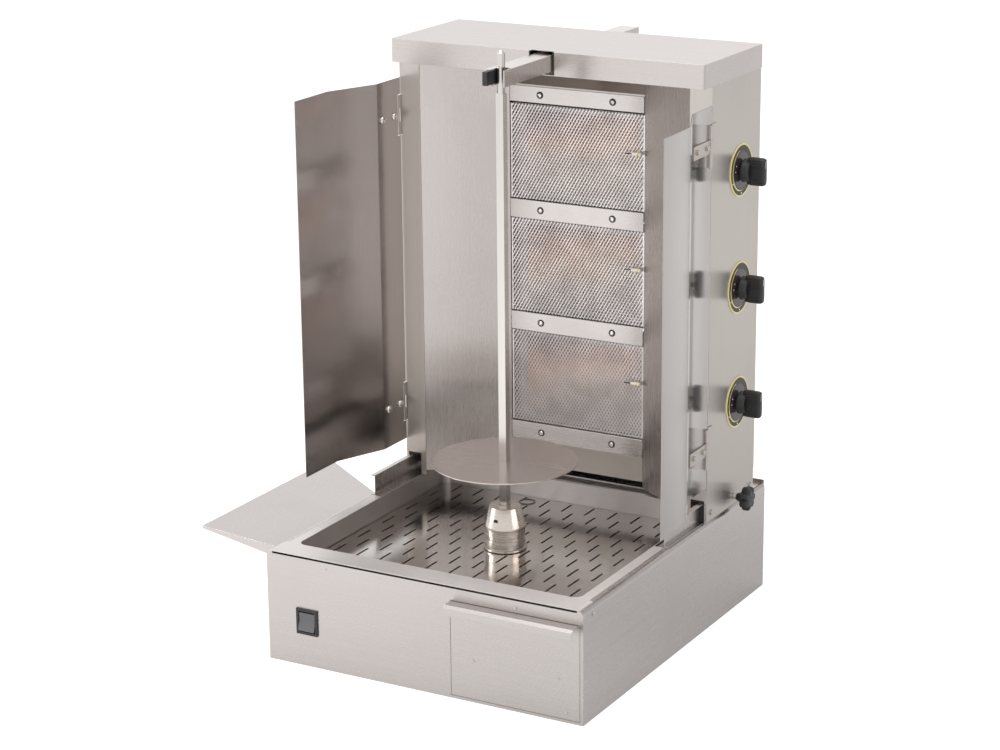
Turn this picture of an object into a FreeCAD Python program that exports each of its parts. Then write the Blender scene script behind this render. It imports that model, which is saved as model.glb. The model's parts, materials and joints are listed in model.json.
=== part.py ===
import FreeCAD, Part
import os
import re
import Sketcher

# Countertop vertical rotisserie broiler with three gas burners.
# X runs to the right, Y to the back, Z up; the origin is on the spit axis at the worktop.

SIZES = {
    # base box
    "base_half": 262.5, "base_front": -250, "base_rear": 367, "base_top": 172, "gauge": 1.5,
    "front_top": 167.8, "fold_radius": 10, "fold_edge": 251.3, "rail_fold": 258.3,
    "rear_top": 176, "frame_low": 169, "frame_top": 170.5, "frame_half": 252.4,
    "frame_rear_half": 257, "pan_open": 238, "pan_open_front": -212, "pan_open_rear": 222,
    # slide rails on the base
    "rail_in": 248.7, "rail_out": 256.8, "rail_front": 32, "rail_end": 326, "rail_top": 203,
    "rail_web": 1.5,
    "stud_slot_end": 312,
    # drip pan and its perforated plate
    "pan_half": 235.5, "pan_front": -210, "pan_rear": 221, "pan_floor": 108, "pan_gauge": 1,
    "pan_rim_half": 251, "pan_rim_low": 170.7, "collar_out": 25, "collar_in": 24,
    "collar_top": 126, "plate_half": 232.9, "plate_front": -208, "plate_rear": 219,
    "plate_low": 137, "plate_top": 138.5, "plate_hole": 30, "slot_len": 34, "slot_wide": 3.6,
    "slot_pitch_x": 40, "slot_pitch_y": 35,
    # drawer
    "drawer_left": 50, "drawer_right": 257, "drawer_low": 5, "drawer_high": 149.4,
    "drawer_gap": 0.6, "box_left": 57, "box_right": 250, "box_low": 14, "box_top": 98,
    "box_end": 90, "box_gauge": 1, "lip_out": 272, "lip_drop": 134.5,
    # switch
    "switch_left": -212, "switch_right": -176, "switch_low": 50, "switch_high": 90,
    "bezel_out": 2.6, "bezel_wall": 4, "rocker_pivot": 2.5,
    # drive
    "gear_half": 40, "gear_front": -45, "gear_rear": 55, "gear_low": 12, "gear_top": 62,
    "can_radius": 31, "can_end": 150, "can_height": 37, "shaft_radius": 10,
    "shaft_bore": 10.05, "shaft_low": 40, "bracket_half": 50, "bracket_top": 73,
    "bracket_gauge": 3, "bearing_out": 21, "bearing_top": 88, "shaft_top": 146,
    # chuck, spit and disc
    "chuck_low": 139.3, "chuck_waist": 172, "chuck_shoulder": 176, "chuck_top": 206,
    "chuck_radius": 30, "chuck_wide": 32.2, "chuck_nose": 23.3, "socket_half": 6.15,
    "spit_half": 6, "spit_low": 148, "spit_top": 892,
    "journal_low": 830, "pin_height": 188, "pin_radius": 2.9, "pin_hole": 2.95,
    "ring_height": 197.8, "ring_radius": 11.5,
    "disc_radius": 110, "disc_low": 274.5, "disc_gauge": 2.5, "hub_radius": 15,
    "hub_low": 262, "disc_bore": 6.3, "rest_pin_height": 258.7, "rest_pin_radius": 3,
    # burner column
    "col_half": 259.8, "col_front": 150, "col_rear": 328, "col_low": 171, "col_gauge": 1.5,
    "strip_in": 227, "col_top": 869, "notch_in": 236, "notch_top": 207, "notch_low": 172,
    "cover_half": 261.6, "cover_front": 125, "cover_rear": 330, "cover_low": 835.5,
    "cover_top": 871, "cover_gauge": 1.2, "cover_round": 4,
    "slot_left": -21, "slot_right": 17, "slot_low": 838.5,
    "bay_half": 115, "bay_back": 231, "wing_low": 180.2, "wing_top": 836, "wing_gauge": 1,
    "floor_low": 178, "floor_top": 180, "shoe_in": 236.5, "shoe_out": 258.3,
    "shoe_low": 172.4, "shoe_top": 206.6, "shoe_front": 152, "shoe_end": 322,
    # burners
    "pitch": 179.7, "mid_height": 513.3, "strip_mid": 603.2, "strip_half": 14.5,
    "screw_side": 62, "housing_half": 112, "housing_tall": 74, "housing_front": 236,
    "housing_rear": 286, "plaque_left": -95, "plaque_right": 101, "plaque_tall": 66,
    "plaque_front": 246, "plaque_rear": 258, "mesh_half": 112.5, "mesh_tall": 75,
    "mesh_front": 233, "mesh_rear": 234, "throat_radius": 13, "throat_end": 202,
    "throat_depth": 266,
    # gas line
    "valve_in": 226, "valve_out": 258, "valve_depth": 260, "valve_radius": 12,
    "stem_radius": 4, "stem_bore": 4.05, "stem_in": 236, "stem_out": 290,
    "pipe_radius": 8, "pipe_side": 236, "pipe_depth": 290, "inlet_side": 190,
    "inlet_height": 235, "thread_radius": 10.48, "thread_end": 352,
    # control knobs and dials
    "dial_radius": 40, "dial_gauge": 1.6, "knob_back": 265.5, "knob_neck": 18,
    "knob_skirt": 278, "grip_half": 21, "grip_thick": 7.5, "knob_end": 300,
    # clamp knob
    "clamp_depth": 253, "clamp_height": 184, "clamp_neck": 9, "clamp_back": 266,
    "clamp_head": 276, "clamp_end": 290, "lobe_radius": 5.5, "lobe_ring": 14.5,
    "stud_radius": 4, "stud_in": 250.5,
    # doors and hinges
    "hinge_side": 263.6, "hinge_depth": 145, "knuckle": 3.2, "hinge_pin": 1.5,
    "hinge_bore": 1.55, "door_low": 229, "door_high": 808, "door_gauge": 1.2,
    "door_flat": 59, "door_slant_out": 34, "door_slant_run": 84, "door_tip": 88,
    "door_rest_left": 0.01, "door_rest_right": 1.5, "hinge_upper": 719, "hinge_lower": 260,
    "hinge_tall": 62, "leaf_gauge": 1.5,
    # support arm
    "arm_half": 16, "arm_low": 842.5, "arm_high": 866.5, "arm_front": -19, "arm_end": 410,
    "arm_wall": 2, "mouth_half": 6.1, "journal_radius": 6, "guide_front": 170,
    "guide_end": 290,
    # side shelf
    "shelf_in": -264.2, "shelf_out": -425, "shelf_high": 160, "shelf_gauge": 1.2,
    "hook_low": 96, "stud_head": 4.5,
}

FRAMES = {
    "x": FreeCAD.Rotation(FreeCAD.Vector(1, 1, 1), 120),
    "y": FreeCAD.Rotation(FreeCAD.Vector(1, 0, 0), 90),
    "z": FreeCAD.Rotation(),
}
TURNS = {
    "x": FreeCAD.Rotation(FreeCAD.Vector(0, 1, 0), 90),
    "y": FreeCAD.Rotation(FreeCAD.Vector(1, 0, 0), -90),
    "z": FreeCAD.Rotation(),
}
AXES = {
    "x": FreeCAD.Vector(1, 0, 0),
    "y": FreeCAD.Vector(0, 1, 0),
    "z": FreeCAD.Vector(0, 0, 1),
}

doc = FreeCAD.newDocument("broiler")
NODES = []


def make_sheet():
    """Put every size on one spreadsheet, each with its own name."""
    sheet = doc.addObject("Spreadsheet::Sheet", "Sizes")
    for row, (alias, value) in enumerate(SIZES.items(), start=1):
        sheet.set("A%d" % row, alias.replace("_", " "))
        sheet.set("B%d" % row, str(value))
        sheet.setAlias("B%d" % row, alias)
    doc.recompute()


def rule(text):
    """Turn a plain size rule into one that reads the spreadsheet."""
    def look_up(match):
        word = match.group(0)
        return "Sizes." + word if word in SIZES else word
    return re.sub(r"[a-z_]+", look_up, str(text))


def mul(text, factor):
    return "%s * (%s)" % (factor, text)


def finish(obj, node):
    """Name the finished piece after its node."""
    obj.Label = node
    NODES.append(obj)
    return obj


# ---------------------------------------------------------------- building blocks

def box(name, x_lo, x_hi, y_lo, y_hi, z_lo, z_hi):
    solid = doc.addObject("Part::Box", name)
    spans = (("Length", "x", x_lo, x_hi), ("Width", "y", y_lo, y_hi), ("Height", "z", z_lo, z_hi))
    for side, axis, low, high in spans:
        solid.setExpression(side, rule("(%s) - (%s)" % (high, low)))
        solid.setExpression("Placement.Base." + axis, rule(low))
    return solid


def place(obj, axis, first, second, along):
    """Put a round piece on its axis; first and second are the two cross directions in order."""
    order = {"x": ("y", "z", "x"), "y": ("x", "z", "y"), "z": ("x", "y", "z")}[axis]
    for direction, value in zip(order, (first, second, along)):
        obj.setExpression("Placement.Base." + direction, rule(value))


def rod(name, axis, first, second, radius, low, high):
    solid = doc.addObject("Part::Cylinder", name)
    solid.Placement = FreeCAD.Placement(FreeCAD.Vector(), TURNS[axis])
    place(solid, axis, first, second, low)
    solid.setExpression("Radius", rule(radius))
    solid.setExpression("Height", rule("(%s) - (%s)" % (high, low)))
    return solid


def cone(name, axis, first, second, start_radius, end_radius, low, high):
    solid = doc.addObject("Part::Cone", name)
    solid.Placement = FreeCAD.Placement(FreeCAD.Vector(), TURNS[axis])
    place(solid, axis, first, second, low)
    solid.setExpression("Radius1", rule(start_radius))
    solid.setExpression("Radius2", rule(end_radius))
    solid.setExpression("Height", rule("(%s) - (%s)" % (high, low)))
    return solid


def draw(sketch, points):
    """Closed outline through the given corners, each corner tied to the size sheet."""
    count = len(points)
    for index in range(count):
        start = FreeCAD.Vector(index * 7.0, index * index * 3.0, 0)
        after = (index + 1) % count
        end = FreeCAD.Vector(after * 7.0, after * after * 3.0, 0)
        sketch.addGeometry(Part.LineSegment(start, end), False)
    for index in range(count):
        sketch.addConstraint(Sketcher.Constraint("Coincident", index, 2, (index + 1) % count, 1))
    for index, corner in enumerate(points):
        for kind, value in zip(("DistanceX", "DistanceY"), corner):
            number = sketch.addConstraint(Sketcher.Constraint(kind, -1, 1, index, 1, 1.0))
            sketch.setExpression("Constraints[%d]" % number, rule(value))


def prism(name, axis, points, low, high):
    sketch = doc.addObject("Sketcher::SketchObject", name + "_outline")
    sketch.Placement = FreeCAD.Placement(FreeCAD.Vector(), FRAMES[axis])
    draw(sketch, points)
    sketch.setExpression("Placement.Base." + axis, rule(low))
    solid = doc.addObject("Part::Extrusion", name)
    solid.Base = sketch
    solid.DirMode = "Custom"
    solid.Dir = AXES[axis]
    solid.Solid = True
    solid.setExpression("LengthFwd", rule("(%s) - (%s)" % (high, low)))
    return solid


def fuse(name, pieces):
    joined = doc.addObject("Part::MultiFuse", name)
    joined.Shapes = pieces
    return joined


def group(name, pieces):
    held = doc.addObject("Part::Compound", name)
    held.Links = pieces
    return held


def cut(name, base, tools):
    result = doc.addObject("Part::Cut", name)
    result.Base = base
    result.Tool = tools[0] if len(tools) == 1 else group(name + "_openings", tools)
    return result


def mirrored(name, source):
    """The same piece on the other side of the machine."""
    twin = doc.addObject("Part::Mirroring", name)
    twin.Source = source
    twin.Normal = FreeCAD.Vector(1, 0, 0)
    return twin


def rounded_box(name, x_lo, x_hi, y_lo, y_hi, z_lo, z_hi, radius):
    """Box with rounded upright corners."""
    block = box(name + "_block", x_lo, x_hi, y_lo, y_hi, z_lo, z_hi)
    doc.recompute()
    rounding = doc.addObject("Part::Fillet", name)
    rounding.Base = block
    rounding.Edges = [(edge, radius, radius) for edge in (1, 3, 5, 7)]
    return rounding


# ---------------------------------------------------------------- base

def round_edges(name):
    """What lies outside the rounded upper edges of the base's two sides."""
    middle = ("base_half - fold_radius", "base_top - fold_radius")
    block = box(name + "_edge_block", middle[0], "base_half + 1", "base_front - 1",
                "base_rear + 1", middle[1], "base_top + 1")
    core = rod(name + "_edge_core", "y", middle[0], middle[1], "fold_radius", "base_front - 2",
               "base_rear + 2")
    right = cut(name + "_edge_right", block, [core])
    return [right, mirrored(name + "_edge_left", right)]


def build_base_shell():
    inner = "base_half - gauge"
    plan = [("-base_half", "base_front"), ("base_half", "base_front"), ("base_half", "base_rear"),
            (inner, "base_rear"), (inner, "base_front + gauge"),
            (mul(inner, -1), "base_front + gauge"), (mul(inner, -1), "base_rear"),
            ("-base_half", "base_rear")]
    wrap = prism("shell_wrap", "z", plan, "0 * gauge", "base_top")
    middle = ("base_half - fold_radius", "base_top - fold_radius")
    folds = []
    for part, edge, front, end in (("front", "fold_edge", "base_front + gauge", "rail_front - 3"),
                                   ("rear", "rail_fold", "rail_front - 3", "base_rear - gauge")):
        block = box("shell_fold_block_" + part, edge, "base_half", front, end, middle[1],
                    "base_top")
        tools = [rod("shell_fold_core_" + part, "y", middle[0], middle[1], "fold_radius - gauge",
                     front + " - 1", end + " + 1")]
        if part == "front":
            tools.append(box("shell_fold_under", edge + " - 1", middle[0], front + " - 1",
                             end + " + 1", middle[1] + " - 1", "base_top - gauge"))
        right = cut("shell_fold_right_" + part, block, tools)
        folds += [right, mirrored("shell_fold_left_" + part, right)]
    joined = fuse("shell_joined", [wrap] + folds)
    rim_gap = box("shell_rim_gap", "-(%s)" % middle[0], middle[0], "base_front - 1",
                  "pan_front + 1", "front_top", "base_top + 1")
    rim_seat = box("shell_rim_seat", "-base_half - 1", "base_half + 1", "base_front - 1",
                   "pan_front + 1", "frame_top + 0.1", "base_top + 1")
    drawer = box("shell_drawer", "drawer_left - drawer_gap", "drawer_right + drawer_gap",
                 "base_front - 1", "base_front + 3", "drawer_low - drawer_gap",
                 "drawer_high + drawer_gap")
    switch = box("shell_switch", "switch_left + 2", "switch_right - 2", "base_front - 1",
                 "base_front + 3", "switch_low + 2", "switch_high - 2")
    finish(cut("base_shell", joined, [rim_gap, rim_seat, drawer, switch] + round_edges("shell")),
           "base_shell")


def build_base_bottom():
    plate = box("bottom_plate", "-base_half + gauge", "base_half - gauge", "base_front + gauge",
                "base_rear - gauge", "0 * gauge", "gauge")
    vents = []
    for row in range(8):
        middle = "%d" % (-196 + row * 16)
        vents.append(box("bottom_vent_%d" % row, middle, middle + " + 5", "230", "300", "-1",
                         "gauge + 1"))
    finish(cut("base_bottom", plate, vents), "base_bottom")


def build_base_rear():
    panel = box("rear_sheet", "-base_half + gauge", "base_half - gauge", "base_rear - gauge",
                "base_rear", "gauge", "rear_top")
    openings = [rod("rear_gland_hole", "y", "-180", "60", "8", "base_rear - 3", "base_rear + 1")]
    for row in range(5):
        height = "%d" % (66 + row * 16)
        openings.append(box("rear_louvre_%d" % row, "-60", "120", "base_rear - 3", "base_rear + 1",
                            height, height + " + 5"))
    finish(cut("base_rear_panel", panel, openings), "base_rear_panel")


def build_top_frame():
    """Flat frame under the pan's rim, wider behind where the rails stand on it."""
    plan = [("-frame_half", "pan_open_front + 1"), ("frame_half", "pan_open_front + 1"),
            ("frame_half", "rail_front - 2"), ("frame_rear_half", "rail_front - 2"),
            ("frame_rear_half", "base_rear - gauge"), ("-frame_rear_half", "base_rear - gauge"),
            ("-frame_rear_half", "rail_front - 2"), ("-frame_half", "rail_front - 2")]
    sheet = prism("frame_sheet", "z", plan, "frame_low", "frame_top")
    opening = box("frame_opening", "-pan_open", "pan_open", "pan_open_front", "pan_open_rear",
                  "frame_low - 1", "frame_top + 1")
    finish(cut("top_frame", sheet, [opening]), "top_frame")


def build_rails():
    section = [("rail_in", "frame_top"), ("rail_out", "frame_top"),
               ("rail_out", "frame_top + rail_web"), ("rail_in + rail_web", "frame_top + rail_web"),
               ("rail_in + rail_web", "rail_top - rail_web"), ("rail_out", "rail_top - rail_web"),
               ("rail_out", "rail_top"), ("rail_in", "rail_top")]
    right = prism("rail_right", "y", section, "rail_front", "rail_end")
    finish(group("slide_rails", [mirrored("rail_left", right), right]), "slide_rails")


def build_pan():
    wall = "pan_gauge"
    tub = rounded_box("pan_tub", "-pan_half", "pan_half", "pan_front", "pan_rear", "pan_floor",
                      "base_top", 14)
    hollow = rounded_box("pan_hollow", "-pan_half + %s" % wall, "pan_half - %s" % wall,
                         "pan_front + %s" % wall, "pan_rear - %s" % wall,
                         "pan_floor + %s" % wall, "base_top + 5", 13)
    rim_plan = [("-base_half", "base_front"), ("base_half", "base_front"),
                ("base_half", "pan_front + 1"), ("pan_rim_half", "pan_front + 1"),
                ("pan_rim_half", "rail_front - 4"), ("pan_half", "rail_front - 4"),
                ("pan_half", "pan_rear + 8"), ("-pan_half", "pan_rear + 8"),
                ("-pan_half", "rail_front - 4"), ("-pan_rim_half", "rail_front - 4"),
                ("-pan_rim_half", "pan_front + 1"), ("-base_half", "pan_front + 1")]
    rim = cut("pan_rim", prism("pan_rim_sheet", "z", rim_plan, "pan_rim_low", "base_top"),
              round_edges("pan"))
    collar = rod("pan_collar", "z", "0 * gauge", "0 * gauge", "collar_out", "pan_floor",
                 "collar_top")
    shell = cut("pan_shell", fuse("pan_outside", [tub, rim]), [hollow])
    bore = rod("pan_bore", "z", "0 * gauge", "0 * gauge", "collar_in", "pan_floor - 1",
               "collar_top + 1")
    finish(cut("drip_pan", fuse("pan_with_collar", [shell, collar]), [bore]), "drip_pan")


def origin_plane(body, role):
    for feature in body.Origin.OriginFeatures:
        if feature.Role == role:
            return feature
    return None


def body_sketch(body, name, height):
    sketch = body.newObject("Sketcher::SketchObject", name)
    sketch.AttachmentSupport = [(origin_plane(body, "XY_Plane"), "")]
    sketch.MapMode = "FlatFace"
    sketch.setExpression("AttachmentOffset.Base.z", rule(height))
    return sketch


def rectangle(sketch, x_lo, x_hi, y_lo, y_hi):
    draw(sketch, [(x_lo, y_lo), (x_hi, y_lo), (x_hi, y_hi), (x_lo, y_hi)])


def grid_pocket(body, name, corner, pitches, counts, depth):
    """One slot cut through and repeated across and along the sheet."""
    sketch = body_sketch(body, name + "_outline", depth[0])
    rectangle(sketch, *corner)
    slot = body.newObject("PartDesign::Pocket", name)
    slot.Profile = sketch
    slot.setExpression("Length", rule(depth[1]))
    doc.recompute()
    pattern = body.newObject("PartDesign::MultiTransform", name + "_field")
    rows = []
    for axis, pitch, count in zip(("H_Axis", "V_Axis"), pitches, counts):
        row = body.newObject("PartDesign::LinearPattern", "%s_%s" % (name, axis[0].lower()))
        row.Direction = (sketch, [axis])
        row.Occurrences = count
        row.setExpression("Length", rule("(%s) * %d" % (pitch, count - 1)))
        rows.append(row)
    pattern.Originals = [slot]
    pattern.Transformations = rows
    body.Tip = pattern
    doc.recompute()


def build_plate():
    """Loose perforated plate over the pan: slots in staggered rows and a hole round the chuck."""
    body = doc.addObject("PartDesign::Body", "plate_sheet")
    sketch = body_sketch(body, "plate_outline", "plate_low")
    rectangle(sketch, "-plate_half", "plate_half", "plate_front", "plate_rear")
    pad = body.newObject("PartDesign::Pad", "plate_pad")
    pad.Profile = sketch
    pad.setExpression("Length", rule("plate_top - plate_low"))
    doc.recompute()
    pitches = ("slot_pitch_x", "slot_pitch_y * 2")
    for name, x_at, y_at, counts in (("slots_odd", "-220", "-205", (12, 6)),
                                     ("slots_even", "-200", "-205 + slot_pitch_y", (11, 6))):
        corner = (x_at + " - slot_wide / 2", x_at + " + slot_wide / 2", y_at, y_at + " + slot_len")
        grid_pocket(body, name, corner, pitches, counts, ("plate_top", "plate_top - plate_low"))
    centre = rod("plate_centre", "z", "0 * gauge", "0 * gauge", "plate_hole", "plate_low - 1",
                 "plate_top + 1")
    edges = rounded_box("plate_edge_outer", "-plate_half", "plate_half", "plate_front",
                        "plate_rear", "pan_floor + pan_gauge", "plate_top", 13)
    inside = rounded_box("plate_edge_inner", "-plate_half + gauge", "plate_half - gauge",
                         "plate_front + gauge", "plate_rear - gauge", "pan_floor", "plate_low", 11.5)
    skirt = cut("plate_skirt", edges, [inside])
    flat = cut("plate_flat", body, [centre])
    trimmed = doc.addObject("Part::Common", "perforated_plate")
    trimmed.Base = skirt
    trimmed.Tool = fuse("plate_with_skirt_room", [flat, box(
        "plate_skirt_room", "-plate_half", "plate_half", "plate_front", "plate_rear", "pan_floor",
        "plate_low")])
    finish(trimmed, "perforated_plate")


def build_shelf():
    """Carving shelf hung on the left side of the base, with a tapering front lip."""
    low = "shelf_high - shelf_gauge"
    plan = [("shelf_in", "-209"), ("shelf_in", "62"), ("shelf_out", "176"), ("shelf_out", "-184")]
    top = prism("shelf_top", "z", plan, low, "shelf_high")
    hook = box("shelf_hook", "shelf_in - shelf_gauge", "shelf_in", "-209", "62", "hook_low",
               "shelf_high")
    keyways = []
    for label, depth in (("front", "-150"), ("rear", "10")):
        keyways.append(box("shelf_keyway_" + label, "shelf_in - 3", "shelf_in + 1",
                           depth + " - 3.4", depth + " + 3.4", "hook_low - 1", "124"))
    body = cut("shelf_body", fuse("shelf_joined", [top, hook]), keyways)
    edge = [("shelf_in", "-209"), ("shelf_in", "-209 + shelf_gauge"),
            ("shelf_out", "-184 + shelf_gauge"), ("shelf_out", "-184")]
    skirt = prism("shelf_front_sheet", "z", edge, "shelf_high - 18", "shelf_high")
    below = [("shelf_in + 1", "shelf_high - 24"), ("shelf_in + 1", "shelf_high - 18"),
             ("shelf_out - 1", "shelf_high - 4"), ("shelf_out - 1", "shelf_high - 24")]
    taper = prism("shelf_front_taper", "y", below, "-215", "-170")
    lip = cut("shelf_front_lip", skirt, [taper])
    finish(fuse("side_shelf", [body, lip]), "side_shelf")


# ---------------------------------------------------------------- drawer and switch

def build_drawer():
    wall = "box_gauge"
    outer = box("drawer_outer", "box_left", "box_right", "base_front + gauge + 0.2", "box_end",
                "box_low", "box_top")
    inner = box("drawer_inner", "box_left + %s" % wall, "box_right - %s" % wall,
                "base_front + gauge + 0.2 + %s" % wall, "box_end - %s" % wall,
                "box_low + %s" % wall, "box_top + 1")
    finish(cut("drawer_box", outer, [inner]), "drawer_box")
    panel = box("drawer_panel", "drawer_left", "drawer_right", "base_front", "base_front + gauge",
                "drawer_low", "drawer_high")
    bent = [("base_front + gauge", "drawer_high"), ("-lip_out + 4", "drawer_high"),
            ("-lip_out", "drawer_high - 4"), ("-lip_out", "lip_drop"),
            ("-lip_out + gauge", "lip_drop"), ("-lip_out + gauge", "drawer_high - 5"),
            ("-lip_out + 5", "drawer_high - gauge"), ("base_front + gauge", "drawer_high - gauge")]
    lip = prism("drawer_lip", "x", bent, "drawer_left + 1", "drawer_right - 1")
    stays = []
    for label, side in (("left", "box_left + 10"), ("right", "box_right - 14")):
        stays.append(box("drawer_stay_" + label, side, side + " + 4", "base_front + gauge",
                         "base_front + gauge + 0.2", "box_low + 6", "box_top - 6"))
    dots = []
    for label, x_at, z_at in (("left", "86", "63"), ("right", "223", "63"), ("low", "236", "14")):
        dots.append(rod("drawer_rivet_" + label, "y", x_at, z_at, "2.4", "base_front - 1",
                        "base_front"))
    finish(fuse("drawer_front", [panel, lip] + stays + dots), "drawer_front")
    runners = []
    for label, low, high, wall_lo, wall_hi in (("left", "52", "62", "52", "53.5"),
                                               ("right", "245", "255", "253.5", "255")):
        foot = box("runner_foot_" + label, low, high, "-246", "150", "gauge + 10", "gauge + 12")
        side = box("runner_side_" + label, wall_lo, wall_hi, "-246", "150", "gauge", "40")
        runners.append(fuse("runner_" + label, [foot, side]))
    finish(group("drawer_runners", runners), "drawer_runners")


def build_switch():
    face = box("bezel_face", "switch_left", "switch_right", "base_front - bezel_out", "base_front",
               "switch_low", "switch_high")
    barrel = box("bezel_barrel", "switch_left + 2.3", "switch_right - 2.3", "base_front",
                 "base_front + 26", "switch_low + 2.3", "switch_high - 2.3")
    well = box("bezel_well", "switch_left + bezel_wall", "switch_right - bezel_wall",
               "base_front - bezel_out - 1", "base_front + 14", "switch_low + bezel_wall",
               "switch_high - bezel_wall")
    pivot = ("base_front + 4", "(switch_low + switch_high) / 2")
    pin = rod("bezel_pivot", "x", pivot[0], pivot[1], "1.5", "switch_left + 3", "switch_right - 3")
    frame = cut("bezel_frame", fuse("bezel_joined", [face, barrel]), [well])
    finish(fuse("switch_bezel", [frame, pin]), "switch_bezel")
    middle = "(switch_low + switch_high) / 2"
    reach = "(switch_high - switch_low) / 2 - bezel_wall - 2.4"
    face_y = "base_front - bezel_out"
    side = [(face_y + " - 2.6", middle + " - (%s)" % reach),
            (face_y + " + 1.4", middle),
            (face_y + " + 0.8", middle + " + (%s)" % reach),
            (face_y + " + 4", middle + " + (%s)" % reach),
            (face_y + " + 11", middle + " + 3"), (face_y + " + 11", middle + " - 3"),
            (face_y + " + 4", middle + " - (%s)" % reach)]
    blank = prism("rocker_blank", "x", side, "switch_left + bezel_wall + 0.5",
                  "switch_right - bezel_wall - 0.5")
    bore = rod("rocker_bore", "x", pivot[0], pivot[1], "1.55", "switch_left", "switch_right")
    finish(cut("switch_rocker", blank, [bore]), "switch_rocker")


# ---------------------------------------------------------------- spit drive

def build_motor():
    gears = rounded_box("gear_block", "-gear_half", "gear_half", "gear_front", "gear_rear",
                        "gear_low", "gear_top", 6)
    can = rod("motor_can", "y", "0 * gauge", "can_height", "can_radius", "gear_rear", "can_end")
    cap = rod("motor_cap", "y", "0 * gauge", "can_height", "can_radius - 6", "can_end",
              "can_end + 8")
    feet = []
    for label, low, high in (("front", "gear_front", "gear_front + 14"),
                             ("rear", "gear_rear - 14", "gear_rear")):
        feet.append(box("gear_foot_" + label, "-gear_half", "gear_half", low, high, "gauge",
                        "gear_low"))
    joined = fuse("motor_joined", [gears, can, cap] + feet)
    bore = rod("motor_bore", "z", "0 * gauge", "0 * gauge", "shaft_bore", "shaft_low - 2",
               "gear_top + 1")
    finish(cut("gear_motor", joined, [bore]), "gear_motor")


def build_bracket():
    high = "bracket_top"
    low = "bracket_top - bracket_gauge"
    section = [("-bracket_half - 12", "gauge"), ("-bracket_half + 3", "gauge"),
               ("-bracket_half + 3", low), ("bracket_half - 3", low), ("bracket_half - 3", "gauge"),
               ("bracket_half", "gauge"), ("bracket_half", high), ("-bracket_half", high),
               ("-bracket_half", "gauge + 3"), ("-bracket_half - 12", "gauge + 3")]
    bridge = prism("bracket_bridge", "y", section, "-38", "38")
    hole = rod("bracket_hole", "z", "0 * gauge", "0 * gauge", "15", low + " - 1", high + " + 1")
    finish(cut("motor_bracket", bridge, [hole]), "motor_bracket")
    ring = rod("bearing_ring", "z", "0 * gauge", "0 * gauge", "bearing_out", "bracket_top",
               "bearing_top")
    flange = rod("bearing_flange", "z", "0 * gauge", "0 * gauge", "30", "bracket_top",
                 "bracket_top + 4")
    bore = rod("bearing_bore", "z", "0 * gauge", "0 * gauge", "shaft_bore", "bracket_top - 1",
               "bearing_top + 1")
    finish(cut("drive_bearing", fuse("bearing_joined", [ring, flange]), [bore]), "drive_bearing")


def build_spit():
    centre = "0 * gauge"
    finish(rod("drive_shaft", "z", centre, centre, "shaft_radius", "shaft_low", "shaft_top"),
           "drive_shaft")
    foot = rod("chuck_foot", "z", centre, centre, "chuck_wide", "chuck_low", "chuck_low + 4")
    skirt = rod("chuck_skirt", "z", centre, centre, "chuck_radius", "chuck_low", "chuck_waist")
    band = rod("chuck_band", "z", centre, centre, "chuck_wide", "chuck_waist", "chuck_shoulder")
    nose = cone("chuck_cone", "z", centre, centre, "chuck_wide", "chuck_nose", "chuck_shoulder",
                "chuck_top")
    grooves = []
    for label, height in (("low", "156.5"), ("high", "160.5")):
        ring = rod("chuck_ring_" + label, "z", centre, centre, "chuck_radius + 1", height,
                   height + " + 1.6")
        core = rod("chuck_core_" + label, "z", centre, centre, "chuck_radius - 1", height + " - 1",
                   height + " + 3")
        grooves.append(cut("chuck_groove_" + label, ring, [core]))
    socket = box("chuck_socket", "-socket_half", "socket_half", "-socket_half", "socket_half",
                 "spit_low - 1", "chuck_top + 1")
    seat = rod("chuck_seat", "z", centre, centre, "shaft_radius", "chuck_low - 1", "shaft_top")
    pin_hole = rod("chuck_pin_hole", "y", centre, "pin_height", "pin_hole", "-40", "40")
    tools = fuse("chuck_tools", grooves + [socket, seat, pin_hole])
    finish(cut("chuck", fuse("chuck_joined", [foot, skirt, band, nose]), [tools]), "chuck")

    square = box("spit_square", "-spit_half", "spit_half", "-spit_half", "spit_half", "spit_low",
                 "journal_low")
    journal = rod("spit_journal", "z", centre, centre, "journal_radius", "journal_low",
                  "spit_top - 4")
    tip = cone("spit_tip", "z", centre, centre, "journal_radius", "journal_radius - 3",
               "spit_top - 4", "spit_top")
    rest = rod("spit_rest_pin", "x", centre, "rest_pin_height", "rest_pin_radius", "-17", "17")
    hole = rod("spit_pin_hole", "y", centre, "pin_height", "pin_hole", "-10", "10")
    finish(cut("spit_rod", fuse("spit_joined", [square, journal, tip, rest]), [hole]), "spit_rod")

    plate = rod("disc_plate", "z", centre, centre, "disc_radius", "disc_low",
                "disc_low + disc_gauge")
    hub = rod("disc_hub", "z", centre, centre, "hub_radius", "hub_low", "disc_low + disc_gauge + 6")
    bore = box("disc_bore_tool", "-disc_bore", "disc_bore", "-disc_bore", "disc_bore",
               "hub_low - 1", "disc_low + 20")
    finish(cut("meat_disc", fuse("disc_joined", [plate, hub]), [bore]), "meat_disc")


def build_pin():
    """Cross pin that locks the spit in the chuck, with a wire riser and a flat pull ring."""
    pin = rod("lock_pin_bar", "y", "0 * gauge", "pin_height", "pin_radius", "-20", "39")
    riser = rod("lock_pin_riser", "z", "0 * gauge", "37", "1.4", "pin_height", "ring_height")
    link = rod("lock_pin_link", "x", "37", "ring_height", "1.4", "-1.2", "6.6")
    ring = doc.addObject("Part::Torus", "pin_ring")
    ring.setExpression("Radius1", rule("ring_radius"))
    ring.Radius2 = 1.4
    place(ring, "z", "12", "47", "ring_height")
    finish(fuse("lock_pin", [pin, riser, link, ring]), "lock_pin")


# ---------------------------------------------------------------- burner column

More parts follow.
